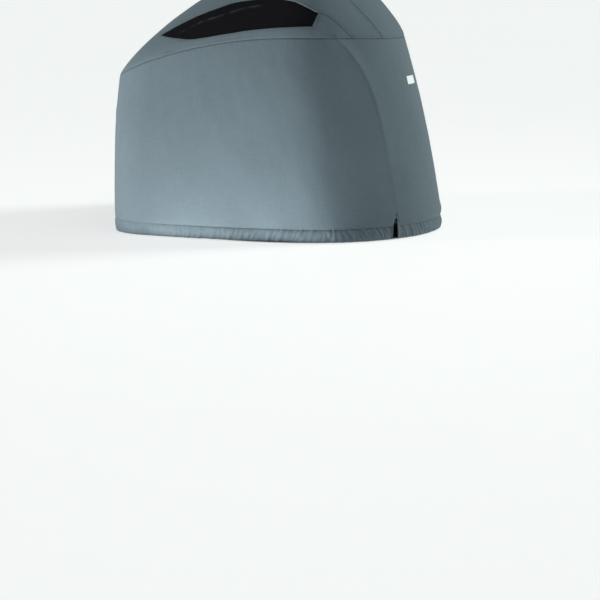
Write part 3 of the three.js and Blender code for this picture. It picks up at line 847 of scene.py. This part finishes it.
def hemmedPanel(name, panel, runs, sides):
    sheet, runs, sides = Sheet(), runs[:, None], sides[:, None]
    hemRows = np.array(wallGrid["hemRows"])[None, :]
    low = sheet.lay(*wallPoints(runs, hemRows + 0 * runs, sides, panel))[:, -1]
    seamZ = seamHeight(planPoint(1, glide(runs[::2], 1.0))[0])
    share = np.sin(math.pi / 2 * np.arange(1, wallGrid["rows"] + 1) / wallGrid["rows"])[None, :]
    above = sheet.lay(*wallPoints(runs[::2], mix(hemRows[0, -1], seamZ, share), sides[::2], panel))[:, 0]
    for i in range(len(above) - 1):  # two hem columns meet one above them
        sheet.faces.append([low[2 * i], above[i], above[i + 1], low[2 * i + 2], low[2 * i + 1]])
    return sheet.close(name, canvas)


def evenSteps(start, end, parity):
    count = int((end - start) / wallGrid["hemStep"])
    return np.linspace(start, end, count + (count + parity) % 2)


edge = np.array(wallGrid["edge"])
portRuns = np.concatenate([seamRun + edge[:-1], evenSteps(seamRun + edge[-1], hemEnds[-1], len(edge))])
wallCanvas = hemmedPanel("wallCanvas", "wall", np.concatenate([portRuns, portRuns[-2::-1]]),
                         np.repeat([1, -1], [len(portRuns), len(portRuns) - 1]))
halfRuns = np.concatenate([evenSteps(0, seamRun - edge[-1], len(edge)), seamRun - edge[-2::-1]])
rearCanvas = hemmedPanel("rearCanvas", "rear", np.concatenate([halfRuns[:0:-1], halfRuns]),
                         np.repeat([-1, 1], [len(halfRuns) - 1, len(halfRuns)]))
print("wall and rear panel:", faceCounts(wallCanvas, rearCanvas))

# The crown: two shoulders, each cut by a dart that runs into the vent, and a centre panel between them.
shoulderGrid = {
    "step": 4,
    "fine": 400,  # points that measure the columns' spacing
    "upper": 38,  # rows above the dart and the vent, below them, and from the vent's corner to the dart
    "lower": 9,
    "besideVent": 9,
    "dartTip": (0.3, 0.6, 1.0, 1.7, 2.8),  # more columns where the dart runs out
    "dartFrom": 3,  # below it the cloth starts this many gaps above the crown seam
    "girth": 300,  # cloth to a whole rise of the crown, for the weave
    "same": 1e-6,
}
centreGrid = {
    "width": 208,
    "edge": (0, 0.6, 1.3, 2.1, 3.2, 4.6, 6.5),
    "step": 5,
    "length": 760,
    "end": (0, 0.05, 0.13, 0.26, 0.5, 0.9, 1.6, 2.8, 4.4, 6.4),
    "alongStep": 4.2,
    "cloth": 860,  # length of the cloth, for the weave
}


def clustered(count):  # finer at both ends
    return 0.5 - 0.5 * np.cos(np.linspace(0, math.pi, count))


def splitRise(run):  # the shoulder's two bands part at the dart and the vent, and join ahead of it
    ahead = vent["lower"][-1] * centreRise(run) / centreRise(np.array(ventTip))
    behind = np.where(run < dartStart, 0, np.maximum(dartRise(run), 0))
    return np.where(run >= ventTip - shoulderGrid["same"], ahead, behind)


def runsBetween(start, end):  # columns evenly spaced along the longer of the band's two edges
    fine = np.linspace(start, end, shoulderGrid["fine"])
    steps = 0
    for rise in (splitRise(fine), centreRise(fine)):
        points = coverPoint(crownStation(fine, rise, 1), 1 + rise)
        steps = np.maximum(steps, np.linalg.norm(np.diff(points, axis=0), axis=1))
    along = np.concatenate([[0], np.cumsum(steps)])
    count = max(2, int(along[-1] / shoulderGrid["step"]))
    return np.interp(np.linspace(0, along[-1], count), along, fine)


def crownBand(run, low, high, shares, side):
    rise = mix(low[:, None], np.maximum(low, high)[:, None], shares[None, :])
    run = np.broadcast_to(run[:, None], rise.shape)
    maps = np.stack([side * run, rise * shoulderGrid["girth"]], -1)
    panel = "port" if side > 0 else "starboard"
    band = wornPoints(crownStation(run, rise, side), 1 + rise, maps, panel)
    return band if side > 0 else [values[::-1] for values in band]


def shoulder(name, side):
    knots = (rearFoot, dartStart, ventRear, ventTip, frontFoot)
    spans = [runsBetween(a, b) for a, b in zip(knots, knots[1:])]
    spans[1] = np.sort(np.concatenate([spans[1], dartStart + np.array(shoulderGrid["dartTip"])]))
    foot = [np.full(len(run), crownGap) for run in spans]
    atVent = spans[1] >= ventRear - shoulderGrid["same"]
    overDart = np.where(atVent, vent["upper"][0], dartRise(spans[1]) + crownGap)
    lows = [foot[0], overDart, ventEdge(spans[2], "upper"), np.maximum(splitRise(spans[3]), crownGap)]
    sheet, upper, lower = Sheet(), clustered(shoulderGrid["upper"]), clustered(shoulderGrid["lower"])
    for run, low in zip(spans, lows):
        high = np.maximum(centreRise(run, form["gap"] / 2), crownGap)
        sheet.lay(*crownBand(run, low, high, upper, side))
    kept = dartRise(spans[1]) > shoulderGrid["dartFrom"] * crownGap
    behind, atVent = spans[1][kept], atVent[kept]
    underDart = np.maximum(dartRise(behind) - crownGap, crownGap)
    corner = np.maximum(underDart * vent["lower"][0] / vent["upper"][0], crownGap)
    corner = np.where(atVent, vent["lower"][0], corner)
    underDart = np.where(atVent, vent["upper"][0] - crownGap, underDart)
    beside = clustered(shoulderGrid["besideVent"])
    for run, low, high, shares in ((behind, foot[1][kept], corner, lower),
                                   (behind, corner, underDart, beside),
                                   (spans[2], foot[2], ventEdge(spans[2], "lower"), lower),
                                   (spans[3], foot[3], splitRise(spans[3]), lower)):
        sheet.lay(*crownBand(run, low, high, shares, side))
    return sheet.close(name, canvas)


def bearing(x, y):  # grows from the rear of the crown's spine round to its front
    front, rear = form["spine"]
    past = math.pi / 2 + (rear - np.maximum(x, front))
    ahead = past + math.pi / 2 - np.arctan2(np.abs(y), np.maximum(front - x, 1e-9))
    behind = np.arctan2(np.abs(y), np.maximum(x - rear, 1e-9))
    return np.where(x > rear, behind, np.where(x > front, past, ahead))


def crownOver(x, y):  # station and rise of the crown above a place in plan
    wanted, spine = bearing(x, y), np.clip(x, *form["spine"])
    run = solve(np.zeros(x.shape), np.full(x.shape, frontRun),
                lambda at: bearing(*planPoint(1, stationAt(at))) < wanted)
    station = np.where(y > 0, -1, 1) * stationAt(run)

    def outside(rise):
        at = coverPoint(station, 1 + rise)
        return np.hypot(at[..., 0] - spine, at[..., 1]) > np.hypot(x - spine, y)

    return station, solve(np.zeros(x.shape), np.ones(x.shape), outside)


def edged(length, edges, step):  # shares of a length, with fine steps at both ends
    near = np.array(edges) / length
    inner = np.linspace(near[-1], 1 - near[-1], int(length / step))
    return np.concatenate([near[:-1], inner, 1 - near[-2::-1]])


def centrePanel(name):
    grid, inset = centreGrid, form["gap"] / 2
    over = 1 - 2 * edged(grid["width"], grid["edge"], grid["step"])  # 1 at the port edge, -1 at the other
    along = edged(grid["length"], grid["end"], grid["alongStep"])[:, None]
    side = np.where(over < 0, -1, 1)
    rearX, rearY = planPoint(1, side * stationAt(np.abs(over) * rearFoot))
    frontX, frontY = planPoint(1, side * stationAt(mix(frontRun, frontFoot, np.abs(over))))
    shares = [np.clip(y / (centreHalf(x) - inset), -1, 1) for x, y in ((rearX, rearY), (frontX, frontY))]
    x = mix(rearX, frontX, along)
    y = mix(*shares, along) * (centreHalf(x) - inset)
    station, rise = crownOver(x, y)
    maps = np.stack([y, along * grid["cloth"] + 0 * y], -1)
    sheet = Sheet()
    sheet.lay(*wornPoints(station, 1 + np.maximum(rise, crownGap), maps, "centre"))
    return sheet.close(name, canvas)


shoulderPort, shoulderStarboard = shoulder("shoulderPort", 1), shoulder("shoulderStarboard", -1)
crownCanvas = centrePanel("crownCanvas")
print("crown:", faceCounts(shoulderPort, shoulderStarboard, crownCanvas))

# Bare sewn label on the rear panel, held down by its stitched border and a little full in the middle.
labelSizes = {
    "width": 54,
    "low": 355,
    "high": 374,
    "corner": 1.6,
    "thickness": 0.8,
    "edge": 0.5,  # how far its edge stands off the panel, and how much more its middle does
    "full": 0.85,
    "soft": 1.6,
    "inset": 2.2,  # of the stitched border, which dips
    "dip": 0.4,
    "dipWidth": 0.7,
    "border": 40,  # points along each side of it
    "stitchShare": 0.62,  # of the seams' stitches
    "stitchLift": 0.05,
    "edges": (0, 0.4, 0.9, 1.5, 2.2, 2.9, 4),
    "step": 2,
    "probe": 0.01,  # a small part of a station to measure with
}
labelHalf = (labelSizes["high"] - labelSizes["low"]) / 2


def labelPoints(x, y):  # across it and up it from its middle
    sizes = labelSizes
    height = (sizes["low"] + sizes["high"]) / 2 + y
    t = height / seamHeight(planPoint(1, 0.0)[0])
    station = x / (-planPoint(t, sizes["probe"])[1] / sizes["probe"])
    maps = np.stack([station / rearSeamStation(t) * seamRun, height], -1)
    points, normals, shade, thick, _ = wornPoints(station, t, maps, "rear")
    inside = np.minimum(sizes["width"] / 2 - np.abs(x), labelHalf - np.abs(y))
    lift = sizes["edge"] + sizes["full"] * (1 - np.exp(-np.maximum(inside, 0) / sizes["soft"]))
    lift = lift - sizes["dip"] * np.exp(-(((inside - sizes["inset"]) / sizes["dipWidth"]) ** 2))
    thick = np.full(thick.shape, sizes["thickness"])
    return points + normals * lift[..., None], normals, shade, thick, np.stack([x, y], -1)


def sewnLabelPiece(name):
    sizes = labelSizes
    across = 2 * edged(sizes["width"], sizes["edges"], sizes["step"])[:, None] - 1
    up = (2 * edged(2 * labelHalf, sizes["edges"], sizes["step"]) - 1)[None, :] * labelHalf
    corner = np.clip(np.abs(up) - (labelHalf - sizes["corner"]), 0, sizes["corner"])
    half = sizes["width"] / 2 - sizes["corner"] + np.sqrt(sizes["corner"] ** 2 - corner**2)
    sheet = Sheet()
    sheet.lay(*labelPoints(across * half, up + 0 * across))
    return sheet.close(name, satin)


sewnLabel = sewnLabelPiece("sewnLabel")
print("label:", faceCounts(sewnLabel))


def lineObject(name, lines, fields):  # open lines as a mesh of edges, with values at their points
    edges, count = [], 0
    for line in lines:
        edges += [(count + i, count + i + 1) for i in range(len(line) - 1)]
        count += len(line)
    mesh = bpy.data.meshes.new(name)
    mesh.from_pydata(toRow(np.concatenate(lines)).tolist(), edges, [])
    for field, values in fields.items():
        values = np.concatenate(values).astype(np.float32)
        kind, slot = ("FLOAT_VECTOR", "vector") if values.ndim > 1 else ("FLOAT", "value")
        mesh.attributes.new(field, kind, "POINT").data.foreach_set(slot, values.ravel())
    piece = bpy.data.objects.new(name, mesh)
    bpy.context.scene.collection.objects.link(piece)
    return piece


def newTree(name, sockets):
    tree = bpy.data.node_groups.new(name, "GeometryNodeTree")
    for socket, kind in (("Geometry", "NodeSocketGeometry"), *sockets):
        tree.interface.new_socket(socket, in_out="INPUT", socket_type=kind)
    tree.interface.new_socket("Geometry", in_out="OUTPUT", socket_type="NodeSocketGeometry")
    return tree, addNode(tree, "NodeGroupInput").outputs


def endTree(tree, geometry, material):  # every tree ends alike: real mesh, smooth, with its material
    real = addNode(tree, "GeometryNodeRealizeInstances", links={0: geometry})
    smooth = addNode(tree, "GeometryNodeSetShadeSmooth", links={0: real.outputs[0]})
    made = addNode(tree, "GeometryNodeSetMaterial",
                   links={"Geometry": smooth.outputs[0], "Material": material})
    addNode(tree, "NodeGroupOutput", links={0: made.outputs[0]})


def grow(piece, tree, values):  # sets the tree's named inputs, then turns its result into a plain mesh
    modifier = piece.modifiers.new("grow", "NODES")
    modifier.node_group = tree
    for item in tree.interface.items_tree:
        if item.item_type == "SOCKET" and item.in_out == "INPUT" and item.name in values:
            modifier[item.identifier] = values[item.name]
    graph = bpy.context.evaluated_depsgraph_get()
    mesh = bpy.data.meshes.new_from_object(piece.evaluated_get(graph), depsgraph=graph)
    piece.modifiers.clear()
    piece.data = mesh
    mesh.name = piece.name
    return piece


def strandTree():  # a flattened strand along each line, lying on the cloth
    tree, given = newTree("flatStrands", (("width", "NodeSocketFloat"), ("thickness", "NodeSocketFloat"),
                                          ("sides", "NodeSocketInt"), ("material", "NodeSocketMaterial")))
    lines = addNode(tree, "GeometryNodeMeshToCurve", links={"Mesh": given["Geometry"]})
    up = addNode(tree, "GeometryNodeInputNamedAttribute", {"data_type": "FLOAT_VECTOR", "Name": "clothUp"})
    laid = addNode(tree, "GeometryNodeSetCurveNormal", {"mode": "FREE"},
                   {"Curve": lines.outputs[0], "Normal": up.outputs[0]})
    ring = addNode(tree, "GeometryNodeCurvePrimitiveCircle", {"Radius": 0.5},
                   {"Resolution": given["sides"]})
    size = addNode(tree, "ShaderNodeCombineXYZ", {2: 1.0}, {0: given["thickness"], 1: given["width"]})
    flat = addNode(tree, "GeometryNodeTransform",
                   links={"Geometry": ring.outputs[0], "Scale": size.outputs[0]})
    strand = addNode(tree, "GeometryNodeCurveToMesh", {"Fill Caps": True},
                     {"Curve": laid.outputs[0], "Profile Curve": flat.outputs[0]})
    endTree(tree, strand.outputs[0], given["material"])
    return tree


def stitchTree():  # short plump stitches set end to end along each line
    tree, given = newTree("lockStitches", (("pitch", "NodeSocketFloat"), ("length", "NodeSocketFloat"),
                                           ("diameter", "NodeSocketFloat"), ("uneven", "NodeSocketFloat"),
                                           ("seed", "NodeSocketInt"), ("material", "NodeSocketMaterial")))
    lines = addNode(tree, "GeometryNodeMeshToCurve", links={"Mesh": given["Geometry"]})
    spaced = addNode(tree, "GeometryNodeResampleCurve", {"mode": "LENGTH"},
                     {"Curve": lines.outputs[0], "Length": given["pitch"]})
    stitch = addNode(tree, "GeometryNodeMeshUVSphere", {"Segments": 6, "Rings": 4, "Radius": 0.5})
    tangent = addNode(tree, "GeometryNodeInputTangent")
    turned = addNode(tree, "FunctionNodeAlignRotationToVector", {"axis": "X"},
                     {"Vector": tangent.outputs[0]})
    low = addNode(tree, "ShaderNodeMath", {"operation": "SUBTRACT", 0: 1.0}, {1: given["uneven"]})
    high = addNode(tree, "ShaderNodeMath", {"operation": "ADD", 0: 1.0}, {1: given["uneven"]})
    vary = addNode(tree, "FunctionNodeRandomValue", {"data_type": "FLOAT"},
                   {2: low.outputs[0], 3: high.outputs[0], "Seed": given["seed"]})
    long = addNode(tree, "ShaderNodeMath", {"operation": "MULTIPLY"},
                   {0: given["length"], 1: vary.outputs[1]})
    size = addNode(tree, "ShaderNodeCombineXYZ", links={0: long.outputs[0], 1: given["diameter"],
                                                        2: given["diameter"]})
    placed = addNode(tree, "GeometryNodeInstanceOnPoints", links={
        "Points": spaced.outputs[0], "Instance": stitch.outputs[0], "Rotation": turned.outputs[0],
        "Scale": size.outputs[0]})
    endTree(tree, placed.outputs[0], given["material"])
    return tree


strands, stitches = strandTree(), stitchTree()

# Stitching: real thread is about 0.4 mm, drawn twice as thick so that the rows show.
stitchSizes = {"pitch": 4.4, "length": 3.5, "diameter": 0.85, "uneven": 0.12, "lift": 0.1, "step": 1.0,
               "seed": 7}
tackSizes = {"low": 51, "high": 64, "half": 2.1, "passes": 20, "thread": 0.8, "sides": 6, "lift": 0.65}


def stitched(name, rows, material, share=1.0):
    values = {key: stitchSizes[key] * share / 1000 for key in ("pitch", "length", "diameter")}
    values.update(uneven=stitchSizes["uneven"], seed=stitchSizes["seed"], material=material)
    return grow(lineObject(name, rows, {}), stitches, values)


def rowsOnCloth():
    rows, calm = [], hemSizes["seamCalm"]
    for points, normals in stitchRows:
        rows.append(points + normals * (seamRelief(points)[0] + stitchSizes["lift"])[:, None])
    for panel, low, high in (("wall", seamRun + calm, hemEnds[-1]), ("rear", 0, seamRun - calm)):
        run = np.arange(low, high, stitchSizes["step"])
        halves = []
        for side in (1, -1):
            points, normals = wallPoints(run, form["hem"] + 0 * run, side + 0 * run, panel)[:2]
            halves.append(points + normals * stitchSizes["lift"])
        first, second = (halves[0], halves[1][::-1]) if panel == "wall" else (halves[1][::-1], halves[0])
        rows.append(np.concatenate([first, second]))
    return rows


seamStitches = stitched("seamStitches", rowsOnCloth(), thread)
borderHalf = (labelSizes["width"] / 2 - labelSizes["inset"], labelHalf - labelSizes["inset"])
corners = np.array([(-1, -1), (1, -1), (1, 1), (-1, 1), (-1, -1)]) * borderHalf
around = np.concatenate([np.linspace(a, b, labelSizes["border"]) for a, b in zip(corners, corners[1:])])
borderPoints, borderNormals = labelPoints(around[:, 0], around[:, 1])[:2]
labelStitches = stitched("labelStitches", [borderPoints + borderNormals * labelSizes["stitchLift"]],
                         whiteThread, labelSizes["stitchShare"])


def tackLine(side):  # a bar of close zigzag thread stops each slit from tearing upward
    share = np.linspace(0, 1, 2 * tackSizes["passes"])
    t = mix(tackSizes["low"], tackSizes["high"], share) / form["seam"]["height"]
    sway = np.where(np.arange(len(share)) % 2, 1, -1) * tackSizes["half"] / rearLength(t)
    station = side * (rearSeamStation(t) + sway)
    up = outward(station, t)
    return coverPoint(station, t) + up * tackSizes["lift"], up


tackPoints, tackUps = zip(tackLine(1), tackLine(-1))
barTacks = grow(lineObject("barTacks", tackPoints, {"clothUp": tackUps}), strands,
                {"width": tackSizes["thread"] / 1000, "thickness": tackSizes["thread"] / 1000,
                 "sides": tackSizes["sides"], "material": paleThread})
print("stitching:", faceCounts(seamStitches, labelStitches, barTacks))

# Vent nets under the shoulders: flat strands that pass over and under each other. They are about 1.5 mm
# apart on a real net, and drawn at twice that so that the weave shows.
netSizes = {
    "pitch": 3.2,
    "strand": 2.2,
    "thickness": 0.8,
    "over": 0.36,
    "sides": 6,
    "depth": 3.4,  # under the canvas's face
    "lap": 9,  # behind the edge of the opening
    "sag": 2.5,
    "sagRound": 0.5,
    "girth": 440,  # net to a whole rise of the crown
    "rises": (0.02, 0.5),
    "crease": 4.8,
    "creaseWidth": 4,
    "creaseRuns": (445, 500, 544, 587, 619),
    "creaseRises": (0.357, 0.333, 0.285, 0.255, 0.195),
    "creaseEnds": (425, 640),
    "creaseFade": 30,
}


def ventNet(name, side):
    pitch, lap, girth = netSizes["pitch"], netSizes["lap"], netSizes["girth"]
    runs = np.arange(ventRear - lap, ventTip + lap, pitch)
    rises = np.arange(*netSizes["rises"], pitch / girth)
    run, rise = np.meshgrid(runs, rises, indexing="ij")
    low, high = ventEdge(run, "lower"), ventEdge(run, "upper")
    kept = (rise > low - lap / girth) & (rise < high + lap / girth)
    share = np.clip((rise - low) / np.maximum(high - low, 1e-6), 0, 1)
    ahead = np.clip((run - ventRear) / (ventTip - ventRear), 0, 1)
    bow = np.sin(math.pi * share) * np.sin(math.pi * ahead) ** netSizes["sagRound"]
    toCrease = (rise - through(netSizes["creaseRuns"], netSizes["creaseRises"], run)) * girth
    # the crease's profile, which also places the painted highlight along it
    creaseAndHighlight = np.exp(-((toCrease / netSizes["creaseWidth"]) ** 2)) * bow
    start, end = netSizes["creaseEnds"]
    for inward in (run - start, end - run):
        creaseAndHighlight = creaseAndHighlight * np.clip(inward / netSizes["creaseFade"], 0, 1)
    depth = netSizes["depth"] + netSizes["sag"] * bow - netSizes["crease"] * creaseAndHighlight
    station = crownStation(run, rise, side)
    normals = outward(station, 1 + rise)
    points = coverPoint(station, 1 + rise) - normals * depth[..., None]
    facing = np.cross(np.gradient(points, axis=1), np.gradient(points, axis=0)) * side
    over = netSizes["over"] * np.where(np.indices(run.shape).sum(0) % 2, 1, -1)
    lines, ups, highlights = [], [], []
    for sign, crossing in ((1, False), (-1, True)):
        strand = points + normals * (sign * over)[..., None]
        along = (strand, facing, creaseAndHighlight, kept)
        if crossing:
            along = [values.swapaxes(0, 1) for values in along]
        for line, up, highlight, inside in zip(*along):
            places = np.flatnonzero(inside)
            for part in np.split(places, np.flatnonzero(np.diff(places) > 1) + 1):
                if len(part) > 1:
                    lines.append(line[part])
                    ups.append(up[part])
                    highlights.append(highlight[part])
    return grow(lineObject(name, lines, {"clothUp": ups, "creaseAndHighlight": highlights}), strands,
                {"width": netSizes["strand"] / 1000, "thickness": netSizes["thickness"] / 1000,
                 "sides": netSizes["sides"], "material": net})


ventNetPort, ventNetStarboard = ventNet("ventNetPort", 1), ventNet("ventNetStarboard", -1)
print("vent nets:", faceCounts(ventNetPort, ventNetStarboard))

# The part's own pieces: each is placed under the part's root, and the nodes it stands for are hidden.
pieces = [  # piece, nodes, slot, cut width and length, cut area, how it is held, what it hangs from
    (wallCanvas, ["wall_panel"], "canvas", (0.54, 2.30), 0.92, "gathered", ["crown_centre"]),
    (rearCanvas, ["rear_panel"], "canvas", (0.54, 0.52), 0.19, "gathered", ["crown_centre"]),
    (crownCanvas, ["crown_centre"], "canvas", (0.23, 0.86), 0.185, "stretched", []),
    (shoulderPort, ["shoulder_port"], "canvas", (0.30, 0.82), 0.125, "stretched", ["crown_centre"]),
    (shoulderStarboard, ["shoulder_starboard"], "canvas", (0.30, 0.82), 0.125, "stretched", ["crown_centre"]),
    (ventNetPort, ["vent_port"], "mesh", (0.15, 0.44), 0.058, "stretched", ["shoulder_port"]),
    (ventNetStarboard, ["vent_starboard"], "mesh", (0.15, 0.44), 0.058, "stretched", ["shoulder_starboard"]),
    (sewnLabel, ["label"], "label", (0.019, 0.054), None, "laid", ["rear_panel"]),
]
for piece, nodes, slot, flat, area, held, on in pieces:
    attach(piece, "root")
    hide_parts(*nodes)
threads = ((seamStitches, "canvas"), (barTacks, "canvas"), (labelStitches, "label"))
for piece, slot in threads:
    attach(piece, "root")
print("pieces placed:", len(pieces) + len(threads))

# Pale floor, soft studio light and the camera. The floor glows a little though it is no lamp, which also
# lights the cover from below.
stage = {
    "floor": ("#c9c9c7", "#cecece"),
    "floorSize": 60,
    "drop": 0.0006,  # a hair below the hem
    "mottle": 600,  # mm
    "finish": {"Roughness": 0.9, "Specular IOR Level": 0.1, "Emission Color": linear("#ffffff")},
    "glow": 0.62,
    "under": (-0.073, 0, 0.385, 0.315),  # middle and half sizes of the patch under the cover where the floor does not glow: a painted shadow
    "underEdge": (0.95, 1.0),
    "room": "#f3fffd",
    "roomGlow": 0.19,
}
suns = {  # strength, colour, turn from the rear toward port, height, spread
    "keyLight": (3.6, "#ffffff", 150, 2, 6),
    "rearLight": (2.2, "#f1fffa", -40, 20, 20),
}
panels = {  # watts, place, aim, width, height, turn
    "foreBoard": (2.4, (-0.62, -0.58, -0.624), (-0.62, -0.58, 1), 0.6, 0.5, 0),
    "sideBoard": (2.75, (-0.06, -0.56, -0.624), (-0.06, -0.56, 1), 0.5, 0.46, 0),
    "hemBoard": (0.045, (0.042, -0.319, -0.624), (0.042, -0.319, 1), 0.26, 0.036, 12.7),
    "topPanel": (9, (0.6, -0.2, 1.7), (0.1, 0, -0.1), 1.5, 1.5, 0),
}
view = {"turn": 21, "away": 4200, "slide": 40.5, "eye": 674.5, "down": 11.82, "focal": 1680, "image": 600,
        "sensor": 36}


def paleFloor():
    half, level = stage["floorSize"] / 2, cadBox[0][2] - stage["drop"]
    corners = [(x, y, level) for x, y in ((-half, -half), (half, -half), (half, half), (-half, half))]
    mesh = bpy.data.meshes.new("paleFloor")
    mesh.from_pydata(corners, [], [(0, 1, 2, 3)])
    material, tree, shader = newMaterial("mattePaintedFloor", stage["finish"])  # faintly mottled white
    place = addNode(tree, "ShaderNodeTexCoord").outputs["Object"]
    mottle = addNode(tree, "ShaderNodeTexNoise", {"Scale": perMetre(stage["mottle"]), "Detail": 2},
                     {"Vector": place})
    dark, light = (linear(colour) for colour in stage["floor"])
    colour = addNode(tree, "ShaderNodeMix", {"data_type": "RGBA", 6: dark, 7: light},
                     {0: mottle.outputs[0]})
    tree.links.new(colour.outputs[2], shader.inputs["Base Color"])
    # painted shadow: the glow fades out under the cover
    x, y, halfX, halfY = stage["under"]
    around = addNode(tree, "ShaderNodeMapping", {"vector_type": "TEXTURE", "Location": (x, y, level),
                                                 "Scale": (halfX, halfY, 1)}, {"Vector": place})
    away = addNode(tree, "ShaderNodeVectorMath", {"operation": "LENGTH"}, {0: around.outputs[0]})
    inner, outer = stage["underEdge"]
    glow = addNode(tree, "ShaderNodeMapRange",
                   {"From Min": inner, "From Max": outer, "To Max": stage["glow"]},
                   {"Value": away.outputs["Value"]})
    tree.links.new(glow.outputs[0], shader.inputs["Emission Strength"])
    mesh.materials.append(material)
    floor = bpy.data.objects.new("paleFloor", mesh)
    bpy.context.scene.collection.objects.link(floor)
    return floor


def addLight(name, lamp, toward, place=(0, 0, 0), turn=0):
    light = bpy.data.objects.new(name, lamp)
    turned = Quaternion((0, 0, 1), math.radians(turn)) @ Vector(toward).to_track_quat("Z", "Y")
    light.location, light.rotation_euler = place, turned.to_euler()
    light.visible_camera = False
    bpy.context.scene.collection.objects.link(light)


paleFloor()
for name, (strength, colour, turn, height, spread) in suns.items():
    lamp = bpy.data.lights.new(name, "SUN")
    lamp.energy, lamp.color, lamp.angle = strength, linear(colour)[:3], math.radians(spread)
    turn, height = math.radians(turn), math.radians(height)
    level = math.cos(height)
    addLight(name, lamp, (math.cos(turn) * level, -math.sin(turn) * level, math.sin(height)))
for name, (watts, place, aim, width, height, turn) in panels.items():
    lamp = bpy.data.lights.new(name, "AREA")
    lamp.energy, lamp.shape, lamp.size, lamp.size_y = watts, "RECTANGLE", width, height
    addLight(name, lamp, Vector(place) - Vector(aim), place, turn)
world = bpy.data.worlds.new("softRoom")
world.use_nodes = True
background = world.node_tree.nodes["Background"]
background.inputs["Color"].default_value = linear(stage["room"])
background.inputs["Strength"].default_value = stage["roomGlow"]
bpy.context.scene.world = world
bpy.context.scene.view_settings.view_transform = "Standard"

turn, down = math.radians(view["turn"]), math.radians(view["down"])
back, right = Vector((math.sin(turn), -math.cos(turn), 0)), Vector((math.cos(turn), math.sin(turn), 0))
eye = back * view["away"] + right * view["slide"] + Vector((0, 0, view["eye"]))
lens = bpy.data.cameras.new("photoView")
lens.sensor_width, lens.lens = view["sensor"], view["focal"] / view["image"] * view["sensor"]
camera = bpy.data.objects.new("photoView", lens)
camera.location = (eye - Vector(form["origin"])) / 1000
toward = -back * math.cos(down) - Vector((0, 0, math.sin(down)))
camera.rotation_euler = toward.to_track_quat("-Z", "Y").to_euler()
bpy.context.scene.collection.objects.link(camera)
bpy.context.scene.camera = camera
print("stage set")
